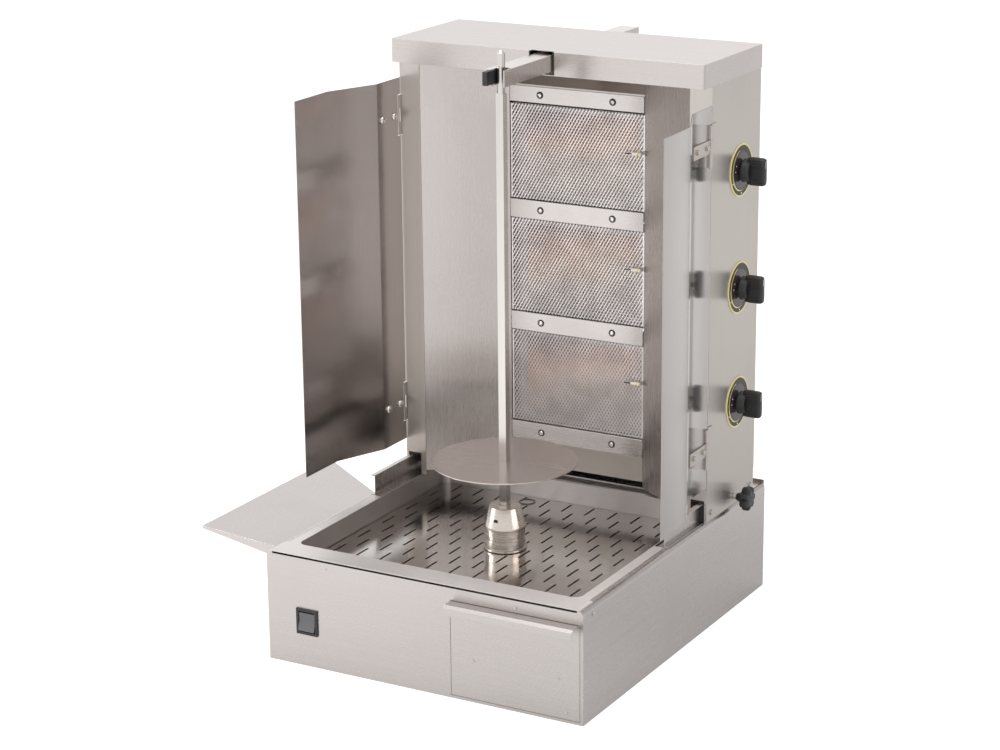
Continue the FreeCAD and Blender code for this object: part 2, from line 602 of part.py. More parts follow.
def heights():
    """Middle height of each burner, lowest first."""
    return ["mid_height - pitch", "mid_height", "mid_height + pitch"]


def build_column_sides():
    inner = "col_half - col_gauge"
    plan = [("col_half", "col_front"), ("col_half", "col_rear - col_gauge"),
            (inner, "col_rear - col_gauge"), (inner, "col_front + col_gauge"),
            ("strip_in", "col_front + col_gauge"), ("strip_in", "col_front")]
    sheet = prism("side_sheet", "z", plan, "col_low", "col_top")
    notch = box("side_notch", "notch_in", inner, "col_front - 1", "col_front + col_gauge + 1",
                "col_low - 1", "notch_top")
    toe = box("side_toe", "strip_in - 1", inner, "col_front - 1", "col_front + col_gauge + 1",
              "col_low - 1", "base_top + 0.4")
    plain = cut("side_plain", sheet, [notch, toe])
    finish(mirrored("column_side_left", plain), "column_side_left")
    holes = []
    for row, height in enumerate(heights()):
        holes.append(rod("side_stem_hole_%d" % row, "x", "valve_depth", height, "5.5",
                         inner + " - 1", "col_half + 1"))
    holes.append(rod("side_stud_hole", "x", "clamp_depth", "clamp_height", "4.5", inner + " - 1",
                     "col_half + 1"))
    finish(cut("column_side_right", plain, holes), "column_side_right")


def build_column_rear():
    inner = "col_half - col_gauge"
    sheet = box("rear_cover_sheet", "-col_half", "col_half", "col_rear - col_gauge", "col_rear",
                "col_low + 8", "col_top")
    tools = [box("rear_cover_rail_" + label, low, high, "col_rear - 5", "col_rear + 1",
                 "col_low", "notch_top")
             for label, low, high in (("left", "-col_half - 1", "-notch_in"),
                                      ("right", "notch_in", "col_half + 1"))]
    tools += [box("rear_cover_arm", "slot_left + 1", "slot_right + 1", "col_rear - 5",
                  "col_rear + 1", "slot_low", "col_top + 1"),
              rod("rear_cover_inlet", "y", "inlet_side", "inlet_height", "14", "col_rear - 5",
                 "col_rear + 1")]
    for row in range(14):
        height = "%d" % (300 + row * 34)
        tools.append(box("rear_cover_vent_%d" % row, "-90", "90", "col_rear - 5", "col_rear + 1",
                         height, height + " + 6"))
    finish(cut("column_rear", sheet, tools), "column_rear")
    return inner


def build_cover():
    wall = "cover_gauge"
    outer = rounded_box("cover_outer", "-cover_half", "cover_half", "cover_front", "cover_rear",
                        "cover_low", "cover_top", 4)
    inner = rounded_box("cover_inner", "-cover_half + %s" % wall, "cover_half - %s" % wall,
                        "cover_front + %s" % wall, "cover_rear - %s" % wall, "cover_low - 2",
                        "cover_top - %s" % wall, 2.8)
    front = box("cover_front_slot", "slot_left", "slot_right", "cover_front - 1",
                "cover_front + 9", "slot_low", "cover_top + 1")
    rear = box("cover_rear_slot", "slot_left", "slot_right", "cover_rear - 4", "cover_rear + 1",
               "slot_low", "cover_top - %s" % wall)
    finish(cut("top_cover", outer, [inner, front, rear]), "top_cover")
    edge = [("slot_left - 1.5", "slot_low - 1.5"), ("slot_right + 1.5", "slot_low - 1.5"),
            ("slot_right + 1.5", "cover_top"), ("slot_right", "cover_top"),
            ("slot_right", "slot_low"), ("slot_left", "slot_low"), ("slot_left", "cover_top"),
            ("slot_left - 1.5", "cover_top")]
    finish(prism("slot_trim", "y", edge, "cover_front - 1.2", "cover_front"), "slot_trim")


def build_arm():
    tube = box("arm_tube", "-arm_half", "arm_half", "arm_front", "arm_end", "arm_low", "arm_high")
    inside = box("arm_inside", "-arm_half + arm_wall", "arm_half - arm_wall", "arm_front - 1",
                 "arm_end + 1", "arm_low + arm_wall", "arm_high - arm_wall")
    hollow = cut("arm_hollow", tube, [inside])
    block = box("arm_block", "-arm_half + arm_wall", "arm_half - arm_wall", "0 * gauge",
                "14", "arm_low + arm_wall", "arm_high - arm_wall")
    mouth = fuse("arm_mouth", [
        box("arm_mouth_way", "-mouth_half - 0.1", "arm_half - arm_wall", "arm_front - 1",
            "0 * gauge", "arm_low - 1", "arm_high + 1"),
        box("arm_mouth_side", "0 * gauge", "arm_half - arm_wall", "-1", "mouth_half",
            "arm_low - 1", "arm_high + 1"),
        box("arm_cap_seat", "-arm_half + arm_wall", "0 * gauge", "arm_front - 1", "0 * gauge",
            "arm_low + arm_wall", "arm_high - arm_wall"),
        rod("arm_mouth_seat", "z", "0 * gauge", "0 * gauge", "mouth_half", "arm_low - 1",
            "arm_high + 1")])
    finish(cut("support_arm", fuse("arm_joined", [hollow, block]), [mouth]), "support_arm")
    caps = []
    for label, right, low, high in (("front", "-mouth_half - 0.2", "arm_front - 11", "-0.1"),
                                    ("rear", "arm_half - arm_wall - 0.1", "arm_end - 10",
                                     "arm_end + 2")):
        caps.append(box("arm_cap_" + label, "-arm_half + arm_wall + 0.1", right, low, high,
                        "arm_low + arm_wall + 0.1", "arm_high - arm_wall - 0.1"))
    finish(group("arm_caps", caps), "arm_caps")
    section = [("-arm_half - 6", "arm_low - 2.3"), ("arm_half + 6", "arm_low - 2.3"),
               ("arm_half + 6", "cover_top - cover_gauge"),
               ("arm_half + 4", "cover_top - cover_gauge"), ("arm_half + 4", "arm_low - 0.3"),
               ("-arm_half - 4", "arm_low - 0.3"), ("-arm_half - 4", "cover_top - cover_gauge"),
               ("-arm_half - 6", "cover_top - cover_gauge")]
    finish(prism("arm_guide", "y", section, "guide_front", "guide_end"), "arm_guide")


def build_wings():
    plan = [("strip_in + 2", "col_front + col_gauge"), ("bay_half + 0.4", "bay_back"),
            ("bay_half + 0.4", "bay_back + 5"), ("bay_half + 1.4", "bay_back + 5"),
            ("bay_half + 1.6", "bay_back + 0.4"), ("strip_in + 3.6", "col_front + col_gauge")]
    wing = prism("wing_right", "z", plan, "wing_low", "wing_top")
    finish(wing, "wing_right")
    finish(mirrored("wing_left", wing), "wing_left")


def build_frame():
    """Upright angles that carry the burners, with the plain plate under the lowest one."""
    upright = prism("frame_upright_right", "z", [
        ("bay_half + 2.2", "bay_back + 1"), ("bay_half + 20", "bay_back + 1"),
        ("bay_half + 20", "bay_back + 2.5"), ("bay_half + 3.7", "bay_back + 2.5"),
        ("bay_half + 3.7", "housing_rear + 4"), ("bay_half + 2.2", "housing_rear + 4")],
        "floor_top", "wing_top")
    throats = []
    for row, height in enumerate(heights()):
        throats.append(rod("frame_throat_%d" % row, "x", "throat_depth", height,
                           "throat_radius + 1", "bay_half", "bay_half + 30"))
    right = cut("frame_right", upright, throats)
    left = mirrored("frame_left", upright)
    lip = [("bay_back", "190"), ("bay_back + 1.2", "190"), ("bay_back + 1.2", "229"),
           ("bay_back", "229")]
    plain = prism("lower_plate", "x", lip, "-bay_half", "bay_half")
    slope = [("bay_back", "798"), ("bay_back + 34", "wing_top"),
             ("bay_back + 34", "wing_top - 1.6"), ("bay_back + 1.2", "797.6"),
             ("bay_back + 1.2", "795.6"), ("bay_back", "795.6")]
    reflector = prism("top_reflector", "x", slope, "-bay_half", "bay_half")
    finish(group("burner_frame", [left, right, plain, reflector]), "burner_frame")


def build_column_floor():
    plan = [("-shoe_in", "col_front + 4"), ("-strip_in - 4.5", "col_front + 4"),
            ("-bay_half - 3", "bay_back + 2"), ("bay_half + 3", "bay_back + 2"),
            ("strip_in + 4.5", "col_front + 4"), ("shoe_in", "col_front + 4"),
            ("shoe_in", "col_rear - col_gauge - 0.5"), ("-shoe_in", "col_rear - col_gauge - 0.5")]
    sheet = prism("floor_sheet", "z", plan, "floor_low", "floor_top")
    ears = [box("floor_ear", "shoe_in - 1.5", "shoe_in", "shoe_front + 2", "shoe_end",
                "floor_low", "shoe_top")]
    ears.append(mirrored("floor_ear_left", ears[0]))
    finish(fuse("column_floor", [sheet] + ears), "column_floor")
    section = [("rail_in + rail_web + 0.4", "shoe_low"), ("shoe_out", "shoe_low"),
               ("shoe_out", "shoe_top"), ("shoe_in", "shoe_top"), ("shoe_in", "rail_top + 0.4"),
               ("rail_out + 0.4", "rail_top + 0.4"), ("rail_out + 0.4", "rail_top - rail_web - 0.4"),
               ("rail_in + rail_web + 0.4", "rail_top - rail_web - 0.4")]
    block = prism("shoe_block", "y", section, "shoe_front", "shoe_end")
    bore = rod("shoe_bore", "x", "clamp_depth", "clamp_height", "stem_bore", "rail_in",
               "shoe_out + 1")
    right = cut("shoe_right", block, [bore])
    finish(group("slide_shoes", [mirrored("shoe_left", block), right]), "slide_shoes")


def build_strips():
    """Folded cross strips between the burners and their screws."""
    strips = []
    screws = []
    for row in range(4):
        middle = "strip_mid + pitch * %d" % (row - 2)
        half = "strip_half" if row < 3 else "(strip_half - 2)"
        section = [("bay_back - 1", middle + " - " + half),
                   ("bay_back + 6", middle + " - " + half),
                   ("bay_back + 6", middle + " - %s + 1" % half),
                   ("bay_back + 0.2", middle + " - %s + 1" % half),
                   ("bay_back + 0.2", middle + " + %s - 1" % half),
                   ("bay_back + 6", middle + " + %s - 1" % half),
                   ("bay_back + 6", middle + " + " + half), ("bay_back - 1", middle + " + " + half)]
        strips.append(prism("cross_strip_%d" % (row + 1), "x", section, "-bay_half + 0.6",
                            "bay_half - 0.6"))
        for label, side in (("left", "-screw_side"), ("right", "screw_side")):
            name = "strip_screw_%d_%s" % (row + 1, label)
            screws.append(rod(name, "y", side, middle, "4.4", "bay_back - 3.4", "bay_back - 1"))
    finish(group("cross_strips", strips), "cross_strips")
    finish(group("strip_screws", screws), "strip_screws")


def build_burners():
    housings = []
    plaques = []
    for row, height in enumerate(heights()):
        label = "%d" % (row + 1)
        high = height + " + housing_tall"
        low = height + " - housing_tall"
        outer = box("housing_outer_" + label, "-housing_half", "housing_half", "housing_front",
                    "housing_rear", low, high)
        inner = box("housing_inner_" + label, "-housing_half + 1.5", "housing_half - 1.5",
                    "housing_front - 1", "housing_rear - 1.5", low + " + 1.5", high + " - 1.5")
        throat = rod("housing_throat_" + label, "x", "throat_depth", height, "throat_radius",
                     "housing_half - 1", "throat_end")
        bore = rod("housing_bore_" + label, "x", "throat_depth", height, "throat_radius - 2",
                   "housing_half - 4", "throat_end + 1")
        plate = box("housing_plate_" + label, "-housing_half + 1", "housing_half - 1",
                    "plaque_front - 1.5", "plaque_front", low + " + 1", high + " - 1")
        window = box("housing_window_" + label, "plaque_left + 1.5", "plaque_right - 1.5",
                     "plaque_front - 2", "plaque_front + 1", height + " - plaque_tall + 1.5",
                     height + " + plaque_tall - 1.5")
        face = cut("housing_face_" + label, plate, [window])
        shell = fuse("housing_shell_" + label,
                     [cut("housing_open_" + label, outer, [inner]), face, throat])
        housings.append(cut("burner_housing_" + label, shell, [bore]))
        plaques.append(box("plaque_" + label, "plaque_left", "plaque_right", "plaque_front",
                           "plaque_rear", height + " - plaque_tall", height + " + plaque_tall"))
    finish(group("burner_housings", housings), "burner_housings")
    finish(group("ceramic_plaques", plaques), "ceramic_plaques")


def build_meshes():
    """Guard screen in front of each burner."""
    screens = []
    for row, height in enumerate(heights()):
        label = "%d" % (row + 1)
        body = doc.addObject("PartDesign::Body", "mesh_sheet_" + label)
        sketch = body_sketch(body, "mesh_outline_" + label, "0 * gauge")
        rectangle(sketch, "-mesh_half", "mesh_half", "-mesh_tall", "mesh_tall")
        pad = body.newObject("PartDesign::Pad", "mesh_pad_" + label)
        pad.Profile = sketch
        pad.setExpression("Length", rule("mesh_rear - mesh_front"))
        doc.recompute()
        corner = ("-mesh_half + 4", "-mesh_half + 15", "-mesh_tall + 4", "-mesh_tall + 14")
        grid_pocket(body, "mesh_slots_" + label, corner, ("13.7", "12"), (16, 12),
                    ("mesh_rear - mesh_front", "mesh_rear - mesh_front"))
        body.Placement = FreeCAD.Placement(FreeCAD.Vector(), FRAMES["y"])
        body.setExpression("Placement.Base.y", rule("mesh_rear"))
        body.setExpression("Placement.Base.z", rule(height))
        screens.append(body)
    finish(group("mesh_screens", screens), "mesh_screens")


def build_igniters():
    pieces = []
    for row, height in enumerate(heights()):
        label = "%d" % (row + 1)
        line = height + " + 15"
        stem = rod("igniter_body_" + label, "x", "bay_back - 4", line, "3", "96", "112")
        tip = rod("igniter_tip_" + label, "x", "bay_back - 4", line, "1.2", "84", "96")
        stay = box("igniter_stay_" + label, "104", "109", "bay_back - 3", "bay_back + 2",
                   line + " - 4", line + " + 4")
        pieces.append(fuse("igniter_" + label, [stem, tip, stay]))
    finish(group("igniters", pieces), "igniters")


def build_gas_line():
    pipe = rod("pipe_riser", "z", "pipe_side", "pipe_depth", "pipe_radius", "inlet_height",
               "mid_height + pitch + 20")
    across = rod("pipe_across", "x", "pipe_depth", "inlet_height", "pipe_radius", "inlet_side",
                 "pipe_side")
    out = rod("pipe_out", "y", "inlet_side", "inlet_height", "pipe_radius", "pipe_depth",
              "col_rear - 3")
    finish(fuse("gas_manifold", [pipe, across, out]), "gas_manifold")
    thread = rod("inlet_thread", "y", "inlet_side", "inlet_height", "thread_radius",
                 "col_rear + 6", "thread_end")
    collar = rod("inlet_collar", "y", "inlet_side", "inlet_height", "18", "col_rear",
                 "col_rear + 6")
    sleeve = rod("inlet_sleeve", "y", "inlet_side", "inlet_height", "13.6", "col_rear - 3",
                 "col_rear")
    finish(fuse("gas_inlet", [thread, collar, sleeve]), "gas_inlet")
    valves = []
    for row, height in enumerate(heights()):
        label = "%d" % (row + 1)
        body = rod("valve_body_" + label, "x", "valve_depth", height, "valve_radius", "valve_in",
                   "valve_out - 8")
        boss = rod("valve_boss_" + label, "x", "valve_depth", height, "8", "valve_out - 8",
                   "valve_out")
        port = rod("valve_port_" + label, "y", "pipe_side", height, "6", "valve_depth",
                   "pipe_depth - pipe_radius")
        jet = rod("valve_jet_" + label, "x", "throat_depth", height, "4", "throat_end + 2",
                  "valve_in + 2")
        joined = fuse("valve_joined_" + label, [body, boss, port, jet])
        bore = rod("valve_bore_" + label, "x", "valve_depth", height, "stem_bore", "stem_in - 1",
                   "valve_out + 1")
        valves.append(cut("gas_valve_" + label, joined, [bore]))
    finish(group("gas_valves", valves), "gas_valves")


def build_controls():
    dials = []
    for row, height in enumerate(heights()):
        label = "%d" % (row + 1)
        plate = rod("dial_disc_" + label, "x", "valve_depth", height, "dial_radius", "col_half",
                    "col_half + dial_gauge")
        hole = rod("dial_hole_" + label, "x", "valve_depth", height, "5.5", "col_half - 1",
                   "col_half + 4")
        dials.append(cut("dial_" + label, plate, [hole]))
        flat = box("stem_flat_" + label, "knob_back - 5", "stem_out + 1", "valve_depth - 6",
                   "valve_depth + 6", height + " + 2.8", height + " + 6")
        stem = rod("stem_round_" + label, "x", "valve_depth", height, "stem_radius", "stem_in",
                   "stem_out")
        finish(cut("valve_stem_" + label, stem, [flat]), "valve_stem_" + label)
        neck = rod("knob_base_" + label, "x", "valve_depth", height, "knob_neck", "knob_back",
                   "knob_skirt")
        grip = box("knob_grip_" + label, "knob_skirt - 4", "knob_end", "valve_depth - grip_thick",
                   "valve_depth + grip_thick", height + " - grip_half", height + " + grip_half")
        round_bore = rod("knob_round_" + label, "x", "valve_depth", height, "stem_bore",
                         "knob_back - 1", "stem_out + 4")
        bore_flat = box("knob_flat_" + label, "knob_back - 2", "stem_out + 5", "valve_depth - 6",
                        "valve_depth + 6", height + " + 2.9", height + " + 6")
        bore = cut("knob_bore_" + label, round_bore, [bore_flat])
        finish(cut("knob_" + label, fuse("knob_joined_" + label, [neck, grip]), [bore]),
               "knob_" + label)
    finish(group("dials", dials), "dials")


def build_clamp():
    """Lobed hand knob that locks the column on its rails."""
    neck = cone("clamp_neck_piece", "x", "clamp_depth", "clamp_height", "clamp_neck - 3.5",
                "clamp_neck", "clamp_back", "clamp_head")
    core = rod("clamp_core", "x", "clamp_depth", "clamp_height", "lobe_ring", "clamp_head - 2",
               "clamp_end")
    pieces = [neck, core]
    for step in range(7):
        angle = "%d deg" % (step * 360 / 7)
        pieces.append(rod("clamp_lobe_%d" % step, "x",
                          "clamp_depth + lobe_ring * cos(%s)" % angle,
                          "clamp_height + lobe_ring * sin(%s)" % angle, "lobe_radius",
                          "clamp_head - 1", "clamp_end - 1"))
    pieces.append(rod("clamp_stud", "x", "clamp_depth", "clamp_height", "stud_radius", "stud_in",
                      "clamp_back + 1"))
    finish(fuse("clamp_knob", pieces), "clamp_knob")


# ---------------------------------------------------------------- doors

def build_hinges():
    """Fixed leaves with outer knuckles and pins, both sides of the column."""
    pieces = []
    leaves = []
    for label, low in (("lower", "hinge_lower"), ("upper", "hinge_upper")):
        high = low + " + hinge_tall"
        third = "hinge_tall / 3"
        leaf = box("fixed_leaf_" + label, "col_half", "col_half + leaf_gauge", "hinge_depth",
                   "hinge_depth + 24", low, high)
        pin = rod("hinge_pin_" + label, "z", "hinge_side", "hinge_depth", "hinge_pin",
                  low + " + 1", high + " - 1")
        ends = []
        for part, start, stop in (("a", low, low + " + " + third),
                                  ("b", high + " - " + third, high)):
            ends.append(rod("fixed_knuckle_%s_%s" % (label, part), "z", "hinge_side",
                            "hinge_depth", "knuckle", start, stop))
        gap = box("fixed_gap_" + label, "col_half - 1", "hinge_side + 5", "hinge_depth - 5",
                  "hinge_depth + 3.6", low + " + " + third, high + " - " + third)
        opened = cut("fixed_open_" + label, leaf, [gap])
        pieces.append(fuse("fixed_hinge_" + label, [opened, pin] + ends))
        moving = box("moving_leaf_" + label, "hinge_side - 1.4", "hinge_side - 1.4 + leaf_gauge",
                     "hinge_depth - 60", "hinge_depth", low + " + %s + 0.4" % third,
                     high + " - %s - 0.4" % third)
        knuckle = rod("moving_knuckle_" + label, "z", "hinge_side", "hinge_depth", "knuckle",
                      low + " + %s + 0.4" % third, high + " - %s - 0.4" % third)
        bore = rod("moving_bore_" + label, "z", "hinge_side", "hinge_depth", "hinge_bore",
                   low + " + " + third, high + " - " + third)
        leaves.append(cut("moving_hinge_" + label, fuse("moving_joined_" + label,
                                                        [moving, knuckle]), [bore]))
    right = group("hinges_right", pieces)
    finish(group("hinge_leaves", [right, mirrored("hinges_left", right)]), "hinge_leaves")
    return leaves


def build_doors(leaves):
    """Three-facet doors, drawn straight ahead and then turned to their resting angle."""
    face = "hinge_side - 1.4"
    near = "hinge_depth + 3.5"
    bend = "hinge_depth - 4 - door_flat"
    far = bend + " - door_slant_run"
    tip = far + " - door_tip"
    out = face + " + door_slant_out"
    plan = [(face + " - door_gauge", near), (face, near), (face, bend), (out, far), (out, tip),
            (out + " - door_gauge", tip), (out + " - door_gauge", far + " + 0.25"),
            (face + " - door_gauge", bend + " - 0.25")]
    cutouts = [box("door_cutout_" + low, face + " - door_gauge - 1", face + " + 1",
                   "hinge_depth - 4", near + " + 1", low + " - 1", low + " + hinge_tall + 1")
               for low in ("hinge_lower", "hinge_upper")]
    sheet = cut("door_sheet", prism("door_folded", "z", plan, "door_low", "door_high"), cutouts)
    bolts = []
    for label, height in (("lower", "hinge_lower + hinge_tall / 2"),
                          ("upper", "hinge_upper + hinge_tall / 2")):
        for place_name, back in (("near", "14"), ("far", "48")):
            depth = "hinge_depth - " + back
            head = rod("bolt_head_%s_%s" % (label, place_name), "x", depth, height, "5",
                       face + " - door_gauge - 3.4", face + " - door_gauge")
            nut = rod("bolt_nut_%s_%s" % (label, place_name), "x", depth, height, "4",
                      face + " + leaf_gauge", face + " + leaf_gauge + 3")
            bolts.append(group("bolt_%s_%s" % (label, place_name), [head, nut]))
    hardware = group("door_hardware_piece", leaves + bolts)
    for side, factor in (("right", 1), ("left", -1)):
        for node, source in (("door_" + side, sheet), ("door_hardware_" + side, hardware)):
            plain = source if factor == 1 else mirrored(node + "_twin", source)
            turned(node, plain, factor, "door_rest_" + side)


def turned(node, source, factor, angle):
    """A copy of the piece swung about its hinge line to the resting angle."""
    held = doc.addObject("Part::Compound", node)
    held.Links = [source]
    swing = "%d * %s * 1 deg" % (factor, angle)
    x_at = "(%d) * hinge_side" % factor
    held.Placement = FreeCAD.Placement(FreeCAD.Vector(), FreeCAD.Rotation(FreeCAD.Vector(0, 0, 1), 1))
    held.setExpression("Placement.Rotation.Angle", rule(swing))
    held.setExpression("Placement.Base.x", rule("(%s) - (%s) * cos(%s) + hinge_depth * sin(%s)"
                                                % (x_at, x_at, swing, swing)))
    held.setExpression("Placement.Base.y", rule("hinge_depth - (%s) * sin(%s) - hinge_depth * cos(%s)"
                                                % (x_at, swing, swing)))
    finish(held, node)


# ---------------------------------------------------------------- small fixings

def build_fixings():
    base = [rod("screw_side_front", "x", "-219", "158", "3.4", "base_half", "base_half + 1.6"),
            rod("screw_strip", "y", "155", "156.5", "2.6", "base_front - 1.2", "base_front"),
            rod("screw_front_left", "y", "-160", "158", "2", "base_front - 0.8", "base_front")]
    for label, depth in (("front", "-150"), ("rear", "10")):
        neck = rod("shelf_stud_neck_" + label, "x", depth, "120", "2.6", "shelf_in - shelf_gauge - 0.5",
                   "-base_half")
        head = rod("shelf_stud_head_" + label, "x", depth, "120", "stud_head + 1",
                   "shelf_in - shelf_gauge - 2.6", "shelf_in - shelf_gauge - 0.5")
        base.append(fuse("shelf_stud_" + label, [neck, head]))
    finish(group("base_screws", base), "base_screws")
    column = []
    for label, depth in (("front", "172"), ("rear", "315")):
        for side, low, high in (("right", "col_half", "col_half + 2.4"),
                                ("left", "-col_half - 2.4", "-col_half")):
            column.append(rod("screw_column_%s_%s" % (label, side), "x", depth, "183", "4.2", low,
                              high))
    finish(group("column_screws", column), "column_screws")
    nut = rod("gland_nut", "y", "-180", "60", "12", "base_rear", "base_rear + 14")
    barrel = rod("gland_barrel", "y", "-180", "60", "7.8", "base_rear - 14", "base_rear")
    bore = rod("gland_bore", "y", "-180", "60", "4.5", "base_rear - 20", "base_rear + 20")
    finish(cut("cable_gland", fuse("gland_joined", [nut, barrel]), [bore]), "cable_gland")


# ---------------------------------------------------------------- whole machine

def build_all():
    build_base_shell()
    build_base_bottom()
    build_base_rear()
    build_top_frame()
    build_rails()
    build_pan()
    build_plate()
    build_shelf()
    build_drawer()
    build_switch()
    build_motor()
    build_bracket()
    build_spit()
    build_pin()
    build_column_sides()
    build_column_rear()
    build_cover()
    build_arm()
    build_wings()
    build_frame()
    build_column_floor()
    build_strips()
    build_burners()
    build_meshes()
    build_igniters()
    build_gas_line()
    build_controls()
    build_clamp()
    build_doors(build_hinges())
    build_fixings()
    doc.recompute()


def check_document():
    for obj in doc.Objects:
        for state in obj.State:
            if state in ("Invalid", "Error"):
                raise RuntimeError("%s is %s" % (obj.Name, state))
    for node in NODES:
        if node.Shape.isNull() or not node.Shape.isValid():
            raise RuntimeError("%s has no valid shape" % node.Label)
        if not node.Shape.Solids:
            raise RuntimeError("%s has no solid" % node.Label)


def export_nodes():
    os.makedirs("parts", exist_ok=True)
    for node in NODES:
        node.Shape.exportStep("parts/%s.step" % node.Label)
        extent = node.Shape.BoundBox
        print("%-22s x %8.2f %8.2f  y %8.2f %8.2f  z %8.2f %8.2f  solids %d  vol %.0f"
              % (node.Label, extent.XMin, extent.XMax, extent.YMin, extent.YMax, extent.ZMin,
                 extent.ZMax, len(node.Shape.Solids), node.Shape.Volume))


make_sheet()
build_all()
check_document()
export_nodes()
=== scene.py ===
"""Looks of a three-burner vertical spit broiler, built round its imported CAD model.

Metres, in the CAD frame: X to the operator's right, Y to the back, Z up along the spit,
with the origin on the spit axis in the plane of the worktop.
"""
import json
import math

import bmesh
import bpy
from mathutils import Matrix, Vector


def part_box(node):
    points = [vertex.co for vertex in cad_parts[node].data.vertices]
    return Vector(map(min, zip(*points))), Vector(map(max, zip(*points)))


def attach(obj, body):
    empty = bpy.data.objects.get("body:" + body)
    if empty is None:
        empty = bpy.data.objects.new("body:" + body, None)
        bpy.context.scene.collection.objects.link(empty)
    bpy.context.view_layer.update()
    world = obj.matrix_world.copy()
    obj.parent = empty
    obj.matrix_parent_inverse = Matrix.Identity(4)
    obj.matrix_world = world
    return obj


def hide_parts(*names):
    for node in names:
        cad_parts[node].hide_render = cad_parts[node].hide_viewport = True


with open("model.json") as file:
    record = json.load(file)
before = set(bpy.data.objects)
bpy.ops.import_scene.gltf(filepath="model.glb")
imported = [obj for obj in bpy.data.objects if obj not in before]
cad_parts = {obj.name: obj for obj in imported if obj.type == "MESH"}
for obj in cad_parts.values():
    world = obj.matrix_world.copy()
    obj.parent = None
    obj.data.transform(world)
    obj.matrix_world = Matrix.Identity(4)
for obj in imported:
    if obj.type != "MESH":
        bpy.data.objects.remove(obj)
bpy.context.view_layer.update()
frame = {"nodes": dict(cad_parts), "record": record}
NODES = frame["nodes"]
BODY_OF = {n: body for body, names in frame["record"]["behaviour"]["bodies"].items()
           for n in names}
SLOT_OF = {row["node"]: row["material_slot"] for row in frame["record"]["subparts"]}
MM = 0.001


# ---------------------------------------------------------------- materials

class Nodes:
    """Shorthand for building one node material."""

    def __init__(self, name):
        self.mat = bpy.data.materials.new(name)
        self.mat.use_nodes = True
        self.tree = self.mat.node_tree
        self.shader = self.tree.nodes["Principled BSDF"]
        self.place = self.add("ShaderNodeTexCoord").outputs["Object"]

    def add(self, kind, **settings):
        node = self.tree.nodes.new(kind)
        for key, value in settings.items():
            setattr(node, key, value)
        return node

    def link(self, a, b):
        self.tree.links.new(a, b)

    def scaled(self, scale):
        node = self.add("ShaderNodeMapping")
        node.inputs["Scale"].default_value = scale
        self.link(self.place, node.inputs["Vector"])
        return node.outputs["Vector"]

    def noise(self, scale, detail=2.0, rough=0.5, distortion=0.0):
        """Noise of one scale (a number) or one per axis, in cells per metre."""
        node = self.add("ShaderNodeTexNoise")
        if isinstance(scale, (int, float)):
            scale = (scale,) * 3
        self.link(self.scaled(scale), node.inputs["Vector"])
        node.inputs["Scale"].default_value = 1.0
        node.inputs["Detail"].default_value = detail
        node.inputs["Roughness"].default_value = rough
        node.inputs["Distortion"].default_value = distortion
        return node.outputs["Fac"]

    def math(self, operation, a, b=None):
        node = self.add("ShaderNodeMath", operation=operation)
        for socket, value in zip(node.inputs, (a, b)):
            if value is None:
                continue
            if isinstance(value, (int, float)):
                socket.default_value = value
            else:
                self.link(value, socket)
        return node.outputs[0]

    def span(self, value, from_min, from_max, to_min, to_max, smooth=False):
        node = self.add("ShaderNodeMapRange")
        if smooth:
            node.interpolation_type = "SMOOTHSTEP"
        for key, number in (("From Min", from_min), ("From Max", from_max),
                            ("To Min", to_min), ("To Max", to_max)):
            node.inputs[key].default_value = number
        self.link(value, node.inputs["Value"])
        return node.outputs["Result"]

    def ramp(self, value, *stops):
        """Colours by value: each stop is (position, (r, g, b))."""
        node = self.add("ShaderNodeValToRGB")
        elements = node.color_ramp.elements
        while len(elements) < len(stops):
            elements.new(0.5)
        for element, (position, colour) in zip(elements, stops):
            element.position = position
            element.color = (*colour, 1.0)
        self.link(value, node.inputs["Fac"])
        return node.outputs["Color"]

    def mix(self, factor, a, b):
        node = self.add("ShaderNodeMix", data_type="RGBA")
        for socket, value in zip((node.inputs[0], node.inputs[6], node.inputs[7]), (factor, a, b)):
            if isinstance(value, (int, float)):
                socket.default_value = value
            elif isinstance(value, tuple):
                socket.default_value = (*value, 1.0)
            else:
                self.link(value, socket)
        return node.outputs[2]

    def bump(self, height, strength, distance, normal=None):
        node = self.add("ShaderNodeBump")
        node.inputs["Strength"].default_value = strength
        node.inputs["Distance"].default_value = distance
        self.link(height, node.inputs["Height"])
        if normal is not None:
            self.link(normal, node.inputs["Normal"])
        return node.outputs["Normal"]

    def set(self, **values):
        names = {"colour": "Base Color", "metal": "Metallic", "rough": "Roughness",
                 "normal": "Normal", "anisotropic": "Anisotropic"}
        for key, value in values.items():
            socket = self.shader.inputs[names[key]]
            if isinstance(value, (int, float)):
                socket.default_value = value
            elif isinstance(value, tuple):
                socket.default_value = (*value, 1.0)
            else:
                self.link(value, socket)
        return self.mat


NUDGE = (0.0011, 0.0007, 0.0013)         # keeps a tangent from vanishing along the grain
TILE_FOOT, TILE_PITCH = 0.24375, 0.1797  # where the lowest burner's tone starts, and the next


def tinted(colour, factor):
    return tuple(channel * factor for channel in colour)


GRAIN = {"X": ((3, 1400, 1400), (1, 0, 0)), "Y": ((1400, 3, 1400), (0, 1, 0)),
         "Z": ((1400, 1400, 3), (0, 0, 1))}


def across(n, direction):
    """The direction in the surface at right angles to the grain, where a brushed sheet blurs."""
    cross = n.add("ShaderNodeVectorMath", operation="CROSS_PRODUCT")
    n.link(n.add("ShaderNodeNewGeometry").outputs["Normal"], cross.inputs[0])
    cross.inputs[1].default_value = direction
    shift = n.add("ShaderNodeVectorMath", operation="ADD")
    n.link(cross.outputs[0], shift.inputs[0])
    shift.inputs[1].default_value = NUDGE
    return shift.outputs[0]


